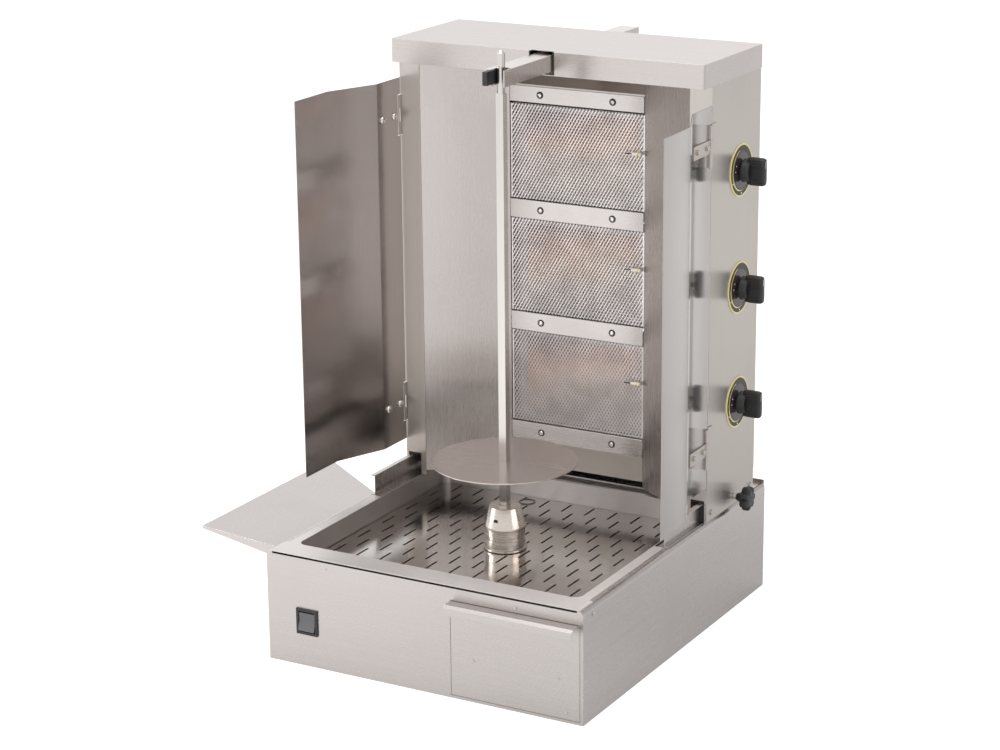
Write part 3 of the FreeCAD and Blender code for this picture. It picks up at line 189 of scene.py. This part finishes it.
def brushed(name, grain, colour=(0.53, 0.492, 0.474), rough=0.26, depth=0.02,
            stretch=0.75, contrast=0.03):
    """Brushed stainless sheet: fine streaks along its grain, faint hand marks and drawn lines."""
    n = Nodes(name)
    scale, direction = GRAIN[grain]
    fine = n.noise(scale, detail=2.0, rough=0.7)
    wide = n.noise(tuple(s / 9 if s > 99 else 1.5 for s in scale), detail=3.0, rough=0.6)
    marks = n.noise(7.0, detail=5.0, rough=0.6, distortion=0.4)
    streak = n.math("ADD", n.math("MULTIPLY", fine, 0.6), n.math("MULTIPLY", wide, 0.4))
    tone = n.ramp(streak, (0.36, tinted(colour, 1 - contrast)), (0.5, colour),
                  (0.66, tinted(colour, 1 + contrast)))
    dull = n.span(marks, 0.45, 0.75, 0.0, 0.5, smooth=True)
    tone = n.mix(n.math("MULTIPLY", dull, 0.12), tone, tinted(colour, 0.80))
    gloss = n.math("ADD", n.span(streak, 0.35, 0.65, rough - 0.02, rough + 0.03),
                   n.math("MULTIPLY", dull, 0.09))
    normal = n.bump(streak, depth, 0.0003)
    n.link(across(n, direction), n.shader.inputs["Tangent"])
    return n.set(colour=tone, metal=1.0, rough=gloss, normal=normal, anisotropic=stretch)


def plain_metal(name, colour, rough, depth=0.05):
    """Cast, plated or turned metal with a fine even grain and a little tarnish."""
    n = Nodes(name)
    fine = n.noise(400.0, detail=3.0)
    stain = n.noise(30.0, detail=3.0)
    tone = n.ramp(stain, (0.35, tinted(colour, 0.82)), (0.6, colour), (0.8, tinted(colour, 1.06)))
    gloss = n.math("ADD", n.span(fine, 0.3, 0.7, rough - 0.05, rough + 0.06),
                   n.span(stain, 0.3, 0.7, 0.05, -0.02))
    return n.set(colour=tone, metal=1.0, rough=gloss, normal=n.bump(fine, depth, 0.0003))


def coated(name, colour, rough, depth=0.15, metal=0.0):
    """Moulded plastic or paint: satin, with a fine texture and lighter rubbed patches."""
    n = Nodes(name)
    fine = n.noise(900.0, detail=2.0)
    rub = n.noise(45.0, detail=4.0, rough=0.65)
    worn = n.span(rub, 0.55, 0.75, 0.0, 1.0, smooth=True)
    tone = n.mix(n.math("MULTIPLY", worn, 0.35), colour,
                 tuple(min(1.0, c * 1.5 + 0.012) for c in colour))
    gloss = n.math("ADD", n.span(fine, 0.3, 0.7, rough - 0.06, rough + 0.08),
                   n.math("MULTIPLY", worn, -0.06))
    return n.set(colour=tone, metal=metal, rough=gloss, normal=n.bump(fine, depth, 0.0002))


def lathe(name, colour, rough):
    """Turned bar: fine rings round the upright axis, which draw its highlights out upwards."""
    n = Nodes(name)
    rings = n.noise((25, 25, 2600), detail=2.0, rough=0.7)
    bands = n.noise((4, 4, 240), detail=2.0)
    tone = n.ramp(n.math("ADD", n.math("MULTIPLY", rings, 0.5), n.math("MULTIPLY", bands, 0.5)),
                  (0.36, tinted(colour, 0.93)), (0.52, colour), (0.66, tinted(colour, 1.05)))
    gloss = n.span(rings, 0.3, 0.7, rough - 0.05, rough + 0.07)
    up = n.add("ShaderNodeCombineXYZ")
    for socket, number in zip(up.inputs, (*NUDGE[:2], 1.0)):
        socket.default_value = number
    n.link(up.outputs[0], n.shader.inputs["Tangent"])
    return n.set(colour=tone, metal=1.0, rough=gloss, normal=n.bump(rings, 0.03, 0.0003),
                 anisotropic=0.6)


def fired_ceramic():
    """Burner tiles: rows of flame holes painted near black as painted shade; each burner's tone
    runs from grey at its foot through tan to dark at its top, greyer towards the right.
    """
    n = Nodes("burner_ceramic")
    split = n.add("ShaderNodeSeparateXYZ")
    n.link(n.place, split.inputs[0])
    height = n.math("SUBTRACT", split.outputs["Z"], TILE_FOOT)
    height = n.math("FRACT", n.math("DIVIDE", height, TILE_PITCH))
    drift = n.noise((9, 9, 14), detail=4.0, rough=0.6, distortion=0.6)
    height = n.math("ADD", height, n.span(drift, 0.3, 0.7, -0.13, 0.13))
    height = n.math("ADD", height, n.math("MULTIPLY", split.outputs["X"], -0.9))
    tone = n.ramp(height, (0.16, (0.46, 0.43, 0.41)), (0.42, (0.60, 0.51, 0.43)),
                  (0.58, (0.76, 0.52, 0.34)), (0.72, (0.60, 0.34, 0.25)),
                  (0.86, (0.32, 0.25, 0.26)))
    holes = n.add("ShaderNodeTexVoronoi")
    n.link(n.place, holes.inputs["Vector"])
    holes.inputs["Scale"].default_value = 385.0
    holes.inputs["Randomness"].default_value = 0.0
    # the flame holes are painted near black: painted shade inside each hole
    open_hole = n.span(holes.outputs["Distance"], 0.20, 0.30, 1.0, 0.0, smooth=True)
    tone = n.mix(n.math("MULTIPLY", open_hole, 0.8), tone, (0.05, 0.035, 0.03))
    grain = n.noise(900.0, detail=2.0)
    bumps = n.bump(grain, 0.25, 0.0003)
    return n.set(colour=tone, rough=n.span(grain, 0.3, 0.7, 0.75, 0.9),
                 normal=n.bump(n.math("SUBTRACT", 1.0, open_hole), 0.6, 0.0006, bumps))


MATERIALS = {
    "panel_z": brushed("stainless_upright_grain", "Z", depth=0.006, contrast=0.012),
    "panel_x": brushed("stainless_cross_grain", "X", depth=0.012, contrast=0.022),
    "strip": brushed("stainless_strip_grain", "X", (0.60, 0.56, 0.54), depth=0.012, contrast=0.02),
    "panel_y": brushed("stainless_depth_grain", "Y", depth=0.012, contrast=0.022),
    "side": brushed("stainless_side_grain", "Z", (0.53, 0.488, 0.455), rough=0.33),
    "rim": brushed("stainless_rim_grain", "X", (0.56, 0.53, 0.515), rough=0.44, depth=0.03),
    "mirror_x": brushed("bright_cross_grain", "X", (0.60, 0.565, 0.545), rough=0.14, depth=0.01,
                        stretch=0.5),
    # the door finishes have darker base colours than the panels: painted dark reflection, deeper on
    # the right door
    "mirror_z_painted_dark_reflection": brushed("bright_upright_grain_painted_dark_reflection", "Z", (0.475, 0.438, 0.422), rough=0.12, depth=0.01),
    "mirror_r_painted_dark_reflection": brushed("right_door_grain_painted_dark_reflection", "Z", (0.44, 0.408, 0.392), rough=0.13, depth=0.01),
    "disc": brushed("disc_grain", "X", (0.53, 0.475, 0.445), rough=0.24),
    "spit": brushed("spit_grain", "Z", (0.60, 0.57, 0.54), rough=0.2, stretch=0.5),
    "turned": lathe("turned_rings", (0.60, 0.55, 0.50), 0.25),
    "machined": plain_metal("turned_steel", (0.60, 0.57, 0.53), 0.2),
    "wire": plain_metal("dark_wire", (0.20, 0.17, 0.145), 0.32),
    # the rocker's grey, lighter than the black plastic, is partly its smoky plastic and partly
    # painted reflection
    "smoke_and_painted_sheen": coated("smoky_rocker_with_painted_sheen", (0.10, 0.10, 0.105), 0.14, depth=0.02),
    "zinc": plain_metal("zinc_plate", (0.55, 0.55, 0.54), 0.35),
    "enamel": coated("black_enamel", (0.015, 0.015, 0.016), 0.38),
    "plastic": coated("black_plastic", (0.013, 0.013, 0.014), 0.42),
    "bronze": plain_metal("bronze", (0.55, 0.36, 0.18), 0.35),
    "brass": plain_metal("brass", (0.74, 0.56, 0.26), 0.27),
    "ceramic": fired_ceramic(),
    "mesh": plain_metal("mesh_steel", (0.86, 0.81, 0.80), 0.38),
    "polished": plain_metal("polished_heads", (0.74, 0.73, 0.71), 0.12, depth=0.01),
    "gilt": coated("gilt_print", (0.78, 0.68, 0.30), 0.35, depth=0.05, metal=0.3),
    "satin_black": coated("dial_black", (0.035, 0.026, 0.028), 0.45, depth=0.05),
    "gloss_black": coated("dial_centre", (0.045, 0.030, 0.038), 0.18, depth=0.02),
    "white": coated("white_print", (0.80, 0.79, 0.74), 0.5, depth=0.02),
    "porcelain": coated("porcelain", (0.78, 0.76, 0.70), 0.2, depth=0.02),
}
BY_SLOT = {"stainless": "panel_z", "bright_stainless": "mirror_x", "machined_steel": "machined",
           "zinc_steel": "zinc", "black_enamel": "enamel", "black_plastic": "plastic",
           "bronze": "bronze", "brass": "brass",
           "burner_ceramic": "ceramic", "mesh_steel": "mesh"}
BY_NODE = {"base_shell": "panel_x", "top_frame": "panel_x", "drawer_front": "panel_x",
           "side_shelf": "panel_y", "top_cover": "panel_x", "cross_strips": "strip",
           "door_left": "mirror_z_painted_dark_reflection", "door_right": "mirror_r_painted_dark_reflection", "drip_pan": "rim",
           "column_side_right": "side", "column_side_left": "side", "meat_disc": "disc",
           "spit_rod": "spit", "hinge_leaves": "side", "door_hardware_left": "side",
           "door_hardware_right": "side", "lock_pin": "wire", "switch_rocker": "smoke_and_painted_sheen",
           "burner_frame": "side"}

for name, obj in NODES.items():
    material = MATERIALS[BY_NODE.get(name, BY_SLOT[SLOT_OF[name]])]
    obj.data.materials.clear()
    obj.data.materials.append(material)


# ---------------------------------------------------------------- shapes

TAPS = [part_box("knob_%d" % row) for row in (1, 2, 3)]
BURNERS = [(low[2] + high[2]) / 2 for low, high in TAPS]    # each burner is level with its tap
TAP_DEPTH = (TAPS[0][0][1] + TAPS[0][1][1]) / 2
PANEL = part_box("dials")[0][0]            # outer face of the column's right side
STRIP_HEIGHTS = (0.2438, 0.4235, 0.6032, 0.7829)
BORE_RIM, BORE_POINTS = 8.9, 96          # corner radius of the square bore, points round it


class Shape:
    """Collects mesh parts with their materials and makes one object of them."""

    def __init__(self):
        self.bm = bmesh.new()
        self.materials = []

    def face(self, verts, material, smooth=True):
        if material not in self.materials:
            self.materials.append(material)
        made = self.bm.faces.new(verts)
        made.material_index = self.materials.index(material)
        made.smooth = smooth
        return made

    def loft(self, rings, material, closed=True, caps=(True, True), smooth=True):
        """Skin through rings of points, all with the same number of points."""
        rows = [[self.bm.verts.new(point) for point in ring] for ring in rings]
        count = len(rows[0])
        for low, high in zip(rows, rows[1:]):
            for i in range(count if closed else count - 1):
                j = (i + 1) % count
                self.face((low[i], low[j], high[j], high[i]), material, smooth)
        if caps[0]:
            self.face(rows[0][::-1], material, False)
        if caps[1]:
            self.face(rows[-1], material, False)

    def turned(self, profile, centre, axis, material, segments=48, smooth=True, caps=(True, True)):
        """Turned piece: the profile gives (radius, distance along the axis) in millimetres."""
        frame_x, frame_y, along = AXES[axis]
        rings = []
        for radius, distance in profile:
            ring = []
            for i in range(segments):
                angle = 2 * math.pi * i / segments
                ring.append(Vector(centre) + (frame_x * math.cos(angle) + frame_y * math.sin(angle))
                            * radius * MM + along * distance * MM)
            rings.append(ring)
        self.loft(rings, material, caps=caps, smooth=smooth)

    def slab(self, low, high, material):
        x0, y0, z0 = low
        x1, y1, z1 = high
        self.loft([[(x0, y0, z0), (x1, y0, z0), (x1, y1, z0), (x0, y1, z0)],
                   [(x0, y0, z1), (x1, y0, z1), (x1, y1, z1), (x0, y1, z1)]], material,
                  smooth=False)

    def done(self, name, body, slot, *nodes, bevel=0.0):
        bmesh.ops.remove_doubles(self.bm, verts=self.bm.verts, dist=1e-7)
        bmesh.ops.recalc_face_normals(self.bm, faces=self.bm.faces)
        mesh = bpy.data.meshes.new(name)
        self.bm.to_mesh(mesh)
        self.bm.free()
        obj = bpy.data.objects.new(name, mesh)
        for material in self.materials:
            mesh.materials.append(MATERIALS[material])
        bpy.context.collection.objects.link(obj)
        mesh.set_sharp_from_angle(angle=math.radians(38))
        finish_edges(obj, bevel)
        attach(obj, body)
        if nodes:
            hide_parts(*nodes)
        return obj


AXES = {"x": (Vector((0, 1, 0)), Vector((0, 0, 1)), Vector((1, 0, 0))),
        "y": (Vector((1, 0, 0)), Vector((0, 0, 1)), Vector((0, 1, 0))),
        "z": (Vector((1, 0, 0)), Vector((0, 1, 0)), Vector((0, 0, 1)))}


def finish_edges(obj, bevel):
    """Rounds the sharp edges a little, as a deburred sheet has, and keeps the flats flat."""
    if bevel:
        rounding = obj.modifiers.new("rounded_edges", "BEVEL")
        rounding.width, rounding.segments = bevel * MM, 2
        rounding.limit_method, rounding.angle_limit = "ANGLE", math.radians(35)
        rounding.use_clamp_overlap = True
        weight = obj.modifiers.new("flat_normals", "WEIGHTED_NORMAL")
        weight.keep_sharp = True


def soften(node, bevel=0.4):
    """The CAD sheet again with its shared corners joined and its edges rounded."""
    bm = bmesh.new()
    bm.from_mesh(NODES[node].data)
    bmesh.ops.remove_doubles(bm, verts=bm.verts, dist=1e-6)
    bmesh.ops.dissolve_limit(bm, angle_limit=math.radians(0.4), verts=bm.verts, edges=bm.edges)
    for face in bm.faces:
        face.smooth = True
    mesh = bpy.data.meshes.new(node + "_sheet")
    bm.to_mesh(mesh)
    bm.free()
    obj = bpy.data.objects.new(node + "_sheet", mesh)
    material = NODES[node].data.materials[0]
    mesh.materials.append(material)
    if material == MATERIALS["panel_x"]:
        # grain that runs across the front turns the corner and runs along the sides
        mesh.materials.append(MATERIALS["panel_y"])
        for face in mesh.polygons:
            face.material_index = int(abs(face.normal.x) > 0.8)
    bpy.context.collection.objects.link(obj)
    mesh.set_sharp_from_angle(angle=math.radians(35))
    finish_edges(obj, bevel)
    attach(obj, BODY_OF[node])
    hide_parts(node)
    return obj


# ---------------------------------------------------------------- burner column

def guard_meshes():
    """Expanded metal in front of each burner: upright diamonds of twisted strands."""
    step_x, step_z, half, tall = 2.75, 4.6, 113.8, 74.5
    shape = Shape()
    columns, rows = int(half / step_x), int(tall / step_z)
    for middle in BURNERS:
        for i in range(-columns, columns):
            for j in range(-rows, rows + 1):
                if (i + j) % 2:
                    continue
                for rise in (-1, 1):
                    if not -rows <= j + rise <= rows:
                        continue
                    start = Vector((i * step_x, 233.1, j * step_z))
                    end = Vector(((i + 1) * step_x, 233.9, (j + rise) * step_z))
                    if rise < 0:
                        start.y, end.y = 233.7, 233.3
                    strand(shape, start * MM, end * MM, Vector((0, 0, middle)))
        frame_z = rows * step_z * MM
        for side in (-1, 1):
            x = side * columns * step_x * MM
            low, high = sorted((x - side * 0.0004, x + side * 0.0018))
            shape.slab((low, 0.2331, middle - frame_z), (high, 0.2339, middle + frame_z), "mesh")
    shape.done("guard_meshes", "column", "mesh_steel", "mesh_screens")


def strand(shape, start, end, lift):
    """One flat strand, set on edge a little as the slitting tool leaves it."""
    ahead = (end - start).normalized()
    flat = Vector((ahead.z, 0.35, -ahead.x)).normalized() * 0.0008
    thick = ahead.cross(flat).normalized() * 0.0003
    corners = (flat + thick, flat - thick, -flat - thick, -flat + thick)
    shape.loft([[start + lift + c for c in corners], [end + lift + c for c in corners]], "mesh",
               caps=(False, False), smooth=False)


def plaques():
    """Two ceramic tiles side by side in each burner."""
    shape = Shape()
    for middle in BURNERS:
        for x0, x1 in ((-95.0, 2.6), (3.4, 101.0)):
            shape.slab((x0 * MM, 0.246, middle - 0.066), (x1 * MM, 0.258, middle + 0.066),
                       "ceramic")
    shape.done("ceramic_tiles", "column", "burner_ceramic", "ceramic_plaques", bevel=0.8)


def strip_screws():
    """Round-head screws in the cross strips, each on a dark ring."""
    shape = Shape()
    for z in STRIP_HEIGHTS:
        for x in (-0.062, 0.062):
            shape.turned([(3.4, 0), (5.5, 0), (5.6, -0.5), (5.2, -0.9), (3.6, -0.8)],
                         (x, 0.230, z), "y", "enamel", 28)
            shape.turned([(3.7, 0), (3.7, -0.9), (3.3, -1.8), (2.4, -2.3), (1.9, -2.4),
                          (1.75, -1.3)], (x, 0.230, z), "y", "polished", 28)
    shape.done("strip_screw_heads", "column", "zinc_steel", "strip_screws")


def igniters():
    """Spark electrode at the right of each burner: ceramic sleeve, wire and clip."""
    shape = Shape()
    for middle in BURNERS:
        z = middle + 0.015
        at = (0.0, 0.227, z)
        shape.turned([(2.2, 112), (3.0, 111.5), (3.0, 101), (2.5, 100), (2.5, 97), (1.6, 96)],
                     at, "x", "porcelain", 20)
        shape.turned([(3.2, 109.5), (3.6, 109), (3.6, 106), (3.2, 105.5)], at, "x", "brass", 6,
                     smooth=False)
        shape.turned([(0.9, 97), (0.9, 86), (0.5, 84.2)], at, "x", "enamel", 12)
        shape.slab((0.104, 0.2275, z - 0.004), (0.109, 0.2328, z + 0.004), "zinc")
    shape.done("spark_electrodes", "column", "brass", "igniters", bevel=0.2)


def dials():
    """Round scale plate behind each knob: gilt rim, black ring with a flame wedge, dark centre."""
    for row, z in enumerate(BURNERS, start=1):
        shape = Shape()
        at = (PANEL, TAP_DEPTH, z)
        shape.turned([(40, 0), (40, 1.1), (39.4, 1.6), (37.8, 1.6), (37.4, 1.1)], at, "x",
                     "gilt", 96, caps=(False, False))
        shape.turned([(37.4, 1.1), (28.6, 1.1)], at, "x", "satin_black", 96, caps=(False, False))
        shape.turned([(28.6, 1.1), (28.2, 1.55), (27.6, 1.6), (5.6, 1.6), (5.6, 0)], at, "x",
                     "gloss_black", 96, caps=(False, False))
        crescent(shape, z, 30.6, 2.6, math.radians(10), math.radians(205), "gilt")
        for angle, radius, size in ((118, 34.6, 1.2), (64, 21, 1.1), (180, 34.4, 1.3),
                                    (88, 22, 0.9)):
            mark(shape, z, math.radians(angle), radius, size, "white")
        shape.done("dial_%d" % row, "column", "black_plastic", *(["dials"] if row == 1 else []))


def crescent(shape, z, radius, width, start, end, material):
    """Thin wedge bent round the dial, from nothing to its full width."""
    steps = 48
    rings = []
    for i in range(steps + 1):
        share = i / steps
        angle = start + (end - start) * share
        half = max(0.08, width / 2 * math.sin(math.pi * min(1.0, 0.08 + 0.9 * share)))
        rings.append([(PANEL + depth * MM, TAP_DEPTH + math.sin(angle) * -r * MM,
                       z + math.cos(angle) * r * MM)
                      for r, depth in ((radius - half, 1.12), (radius + half, 1.12),
                                       (radius + half, 1.28), (radius - half, 1.28))])
    shape.loft(rings, material, smooth=False)


def mark(shape, z, angle, radius, size, material):
    y, up = TAP_DEPTH - math.sin(angle) * radius * MM, z + math.cos(angle) * radius * MM
    shape.turned([(size, 1.12), (size, 1.75), (size * 0.6, 1.8)], (PANEL, y, up), "x",
                 material, 14)


def knob(row, z):
    """Tap knob: round skirt and a tall rounded grip with finger ribs and a pointer line."""
    shape = Shape()
    at = (0.0, TAP_DEPTH, z)
    shape.turned([(4.2, 265.5), (16.8, 265.5), (17.8, 266.0), (18, 267.0), (17.6, 269.0),
                  (16.2, 273.0), (15.4, 276.5), (14.0, 277.8), (6, 278)], at, "x", "plastic", 64)
    rings = []
    for along, shrink in ((272.5, 0.6), (276, 0.2), (280, 0.0), (294, 0.0), (297.5, 0.5),
                          (299.2, 1.4), (300, 3.0)):
        ring = []
        for i in range(88):
            angle = 2 * math.pi * i / 88
            c, s = math.cos(angle), math.sin(angle)
            y = math.copysign(abs(c) ** 0.55, c) * (7.5 - shrink)
            up = math.copysign(abs(s) ** 0.38, s) * (21 - shrink)
            if abs(c) > 0.25:
                y *= 1.0 - 0.13 * (0.5 + 0.5 * math.cos(up * 1.6)) ** 2
            ring.append(Vector((along, y, up)) * MM + Vector(at))
        rings.append(ring)
    shape.loft(rings, "plastic")
    shape.slab((0.2995, TAP_DEPTH - 0.0006, z + 0.006), (0.30005, TAP_DEPTH + 0.0006, z + 0.017),
               "white")
    shape.done("knob_%d_moulded" % row, "tap_knob_%d" % row, "black_plastic", "knob_%d" % row)


def clamp():
    """Seven-lobed hand knob on its steel stud."""
    shape = Shape()
    centre = Vector((0.0, 0.253, 0.184))
    rings = []
    for along, out, wave in ((266, 5.2, 0), (267, 5.8, 0), (273, 8.0, 0.05), (275.5, 11.5, 0.5),
                             (277, 15.4, 0.9), (279, 16.9, 1.0), (286, 17.0, 1.0),
                             (288.6, 15.8, 0.95), (289.8, 13.4, 0.8)):
        ring = []
        for i in range(98):
            angle = 2 * math.pi * i / 98
            radius = out + wave * (2.6 * math.cos(7 * angle) - 0.5 * math.cos(14 * angle))
            ring.append(centre + Vector((along, radius * math.cos(angle), radius * math.sin(angle)))
                        * MM)
        rings.append(ring)
    shape.loft(rings, "plastic")
    shape.turned([(5.0, 289.6), (4.6, 290.0), (2, 290.0)], centre, "x", "plastic", 24)
    shape.turned([(4, 250.5), (4, 266.2)], centre, "x", "machined", 24)
    shape.done("clamp_knob_moulded", "clamp", "black_plastic", "clamp_knob")


def chuck():
    """Turned chuck on the drive shaft: foot, skirt with two grooves, shoulder and cone."""
    shape = Shape()
    at = (0.0, 0.0, 0.0)
    outside = [(10.5, 139.3), (31.6, 139.3), (32.2, 139.8), (32.2, 142.9), (31.6, 143.3),
               (30.2, 143.4), (30, 144.0), (30, 156.3), (29.0, 156.7), (29.0, 157.8),
               (30, 158.2), (30, 160.3),
               (29.2, 160.7), (29.2, 161.6), (30, 162.0), (30, 171.4), (31.4, 172.0), (32.2, 172.9),
               (32.2, 175.6), (31.4, 177.2), (23.9, 205.2), (23.1, 206.0), (8.9, 206.0)]
    shape.turned(outside, at, "z", "turned", 96, caps=(False, False))
    square_bore(shape, 6.15, ((8.9, 206.0), (0, 205.7), (0, 150.0)), "turned", closed=True)
    for side in (-1, 1):
        mouth_at = Vector((0, side * 27.2, 188))
        lip = [(2.6, 0), (2.95, 1.4), (3.5, 1.7)]
        if side < 0:
            lip = [(3.5, -1.7), (2.95, -1.4), (2.6, 0)]
        shape.turned(lip, mouth_at * MM, "y", "enamel", 24)
    shape.done("chuck_turned", "spit", "machined_steel", "chuck")


def square_bore(shape, half, steps, material, closed=False):
    """Bore through a turned piece: steps are (radius, height), where 0 stands for the square."""
    rings = []
    for radius, z in steps:
        ring = []
        for i in range(BORE_POINTS):
            angle = 2 * math.pi * i / BORE_POINTS
            x, y = BORE_RIM * math.cos(angle), BORE_RIM * math.sin(angle)
            if not radius:
                x, y = (max(-half, min(half, 1.6 * v)) for v in (x, y))
            ring.append(Vector((x, y, z)) * MM)
        rings.append(ring)
    shape.loft(rings, material, caps=(False, closed))


def meat_disc():
    """Round plate with a rolled edge on a short hub, sliding on the square spit."""
    shape = Shape()
    outside = [(8.9, 262.0), (14.4, 262.0), (15, 262.6), (15, 273.4), (15.8, 274.5), (17.0, 274.5),
               (108.0, 274.5), (109.0, 274.5), (109.7, 274.8), (110, 275.7), (109.7, 276.7),
               (109.0, 277.0), (108.0, 277.0), (10.0, 277.0), (8.9, 277.0)]
    shape.turned(outside, (0.0, 0.0, 0.0), "z", "disc", 160, caps=(False, False))
    square_bore(shape, 6.3, ((8.9, 277.0), (0, 276.9), (0, 262.1), (8.9, 262.0)), "disc")
    shape.done("meat_disc_turned", "disc", "bright_stainless", "meat_disc")


def edge_strips():
    """Narrow returns on the column's front corners that the doors' rear edges close against."""
    shape = Shape()
    for side in (-1, 1):
        for z0, z1, near in ((0.1725, 0.2585, 259.8), (0.2585, 0.3235, 261.5),
                             (0.3235, 0.7175, 259.8), (0.7175, 0.7825, 261.5),
                             (0.7825, 0.8350, 259.8)):
            x0, x1 = sorted((side * near * MM, side * 0.2624))
            shape.slab((x0, 0.1502, z0), (x1, 0.1513, z1), "side")
    shape.done("column_edge_strips", "column", "stainless")


def bolt_domes():
    """Bright domed bolt heads on the inner faces of the doors."""
    for name, side, angle in (("left", -1, 0.01), ("right", 1, 1.5)):
        shape = Shape()
        turn = Matrix.Rotation(math.radians(side * angle), 4, "Z")
        hinge = Vector((side * 0.2636, 0.145, 0))
        for z in (0.291, 0.750):
            for back in (14, 48):
                at = Vector((side * 0.2610, 0.145 - back * MM, z))
                profile = [(5.9, 0.05), (6.0, 0.7), (5.5, 2.2), (4.2, 3.4), (2.4, 4.1), (0.6, 4.3)]
                if side > 0:
                    profile = [(r, -d) for r, d in profile[::-1]]
                shape.turned(profile, hinge + turn @ (at - hinge), "x", "polished", 28)
        shape.done("bolt_domes_" + name, name + "_door", "bright_stainless")


guard_meshes()
plaques()
strip_screws()
igniters()
dials()
for number, height in enumerate(BURNERS, start=1):
    knob(number, height)
clamp()
chuck()
meat_disc()
edge_strips()
bolt_domes()
for sheet in ("base_shell", "top_frame", "drawer_front", "top_cover", "side_shelf", "cross_strips",
              "support_arm", "slide_rails", "door_left", "door_right", "drip_pan",
              "perforated_plate", "column_side_left", "column_side_right", "spit_rod"):
    soften(sheet)


# ---------------------------------------------------------------- stage

FRONT_LEFT = (-0.49, -0.87, 0.0)         # level direction in which the floor's grey changes


def gradient(n, direction, low, high, *stops):
    """Grey by place along a level direction, from low to high metres."""
    along = n.add("ShaderNodeVectorMath", operation="DOT_PRODUCT")
    n.link(n.place, along.inputs[0])
    along.inputs[1].default_value = direction
    share = n.span(along.outputs["Value"], low, high, 0.0, 1.0)
    return n.ramp(share, *((at, (grey,) * 3) for at, grey in stops))


def stage():
    """A floor and surround with two soft boxes.

    The floor is an even pale tone to the camera. In reflections it is a grey that changes
    towards the front left, and the steel takes much of its look from that.
    """
    bpy.ops.mesh.primitive_plane_add(size=24, location=(0, 0, -0.0005))
    floor = bpy.context.object
    floor.name = "floor"
    n = Nodes("floor_paper")
    tone = n.ramp(n.noise(3.0, detail=3.0), (0.3, (0.34, 0.34, 0.34)), (0.7, (0.36, 0.36, 0.36)))
    lit = gradient(n, FRONT_LEFT, -4.0, 4.0, (0.0, 0.54), (0.18, 0.58), (0.30, 0.47),
                   (0.42, 0.29), (0.5, 0.38), (0.56, 0.58), (0.66, 0.86), (0.80, 0.82),
                   (1.0, 0.74))
    seen = n.add("ShaderNodeLightPath").outputs["Is Camera Ray"]
    n.link(n.mix(seen, lit, (0.86, 0.86, 0.86)), n.shader.inputs["Emission Color"])
    n.shader.inputs["Emission Strength"].default_value = 1.0
    floor.data.materials.append(n.set(colour=tone, rough=0.9))

    world = bpy.data.worlds.new("studio")
    bpy.context.scene.world = world
    world.use_nodes = True
    tree = world.node_tree
    way = tree.nodes.new("ShaderNodeTexCoord").outputs["Generated"]
    split = tree.nodes.new("ShaderNodeSeparateXYZ")
    tree.links.new(way, split.inputs[0])
    rise = tree.nodes.new("ShaderNodeValToRGB")
    stops = ((0.0, 1.0), (0.12, 0.98), (0.3, 0.86), (0.6, 0.92), (1.0, 1.0))
    while len(rise.color_ramp.elements) < len(stops):
        rise.color_ramp.elements.new(0.5)
    for element, (position, grey) in zip(rise.color_ramp.elements, stops):
        element.position, element.color = position, (grey, grey, grey, 1)
    tree.links.new(split.outputs["Z"], rise.inputs["Fac"])
    turn = tree.nodes.new("ShaderNodeVectorMath")
    turn.operation = "DOT_PRODUCT"
    turn.inputs[1].default_value = (0.75, 0.66, 0.0)
    tree.links.new(way, turn.inputs[0])
    side = tree.nodes.new("ShaderNodeMapRange")
    side.interpolation_type = "SMOOTHSTEP"
    for key, number in (("From Min", 0.25), ("From Max", 0.95), ("To Min", 1.27), ("To Max", 0.73)):
        side.inputs[key].default_value = number
    tree.links.new(turn.outputs["Value"], side.inputs["Value"])
    tree.links.new(rise.outputs["Color"], tree.nodes["Background"].inputs["Color"])
    tree.links.new(side.outputs["Result"], tree.nodes["Background"].inputs["Strength"])

    def softbox(name, where, target, size, power):
        light = bpy.data.lights.new(name, "AREA")
        light.shape, light.size, light.size_y, light.energy = "RECTANGLE", *size, power
        obj = bpy.data.objects.new(name, light)
        obj.location = where
        obj.rotation_euler = (Vector(target) - Vector(where)).to_track_quat("-Z", "Y").to_euler()
        bpy.context.collection.objects.link(obj)

    softbox("top_box", (-0.4, -0.3, 3.0), (0, 0, 0.4), (2.0, 1.6), 36)
    softbox("left_box", (-2.8, -1.2, 2.0), (0, 0, 0.3), (1.2, 1.6), 44)
    bpy.context.scene.view_settings.view_transform = "Standard"


def camera():
    """The camera in front of the machine's right-hand corner, a little above it."""
    yaw, pitch, roll = (math.radians(a) for a in (-29.411, 16.715, -0.538))
    ahead = Vector((math.sin(yaw) * math.cos(pitch), math.cos(yaw) * math.cos(pitch),
                    -math.sin(pitch)))
    level = Vector((math.cos(yaw), -math.sin(yaw), 0))
    over = level.cross(ahead)
    right = math.cos(roll) * level + math.sin(roll) * over
    up = -math.sin(roll) * level + math.cos(roll) * over
    turn = Matrix((right, up, -ahead)).transposed()
    data = bpy.data.cameras.new("camera")
    data.lens, data.sensor_width = 95.29, 36.0
    data.clip_end = 60.0
    obj = bpy.data.objects.new("camera", data)
    obj.matrix_world = Matrix.Translation((1.833, -3.263, 1.533)) @ turn.to_4x4()
    bpy.context.collection.objects.link(obj)
    bpy.context.scene.camera = obj


stage()
camera()
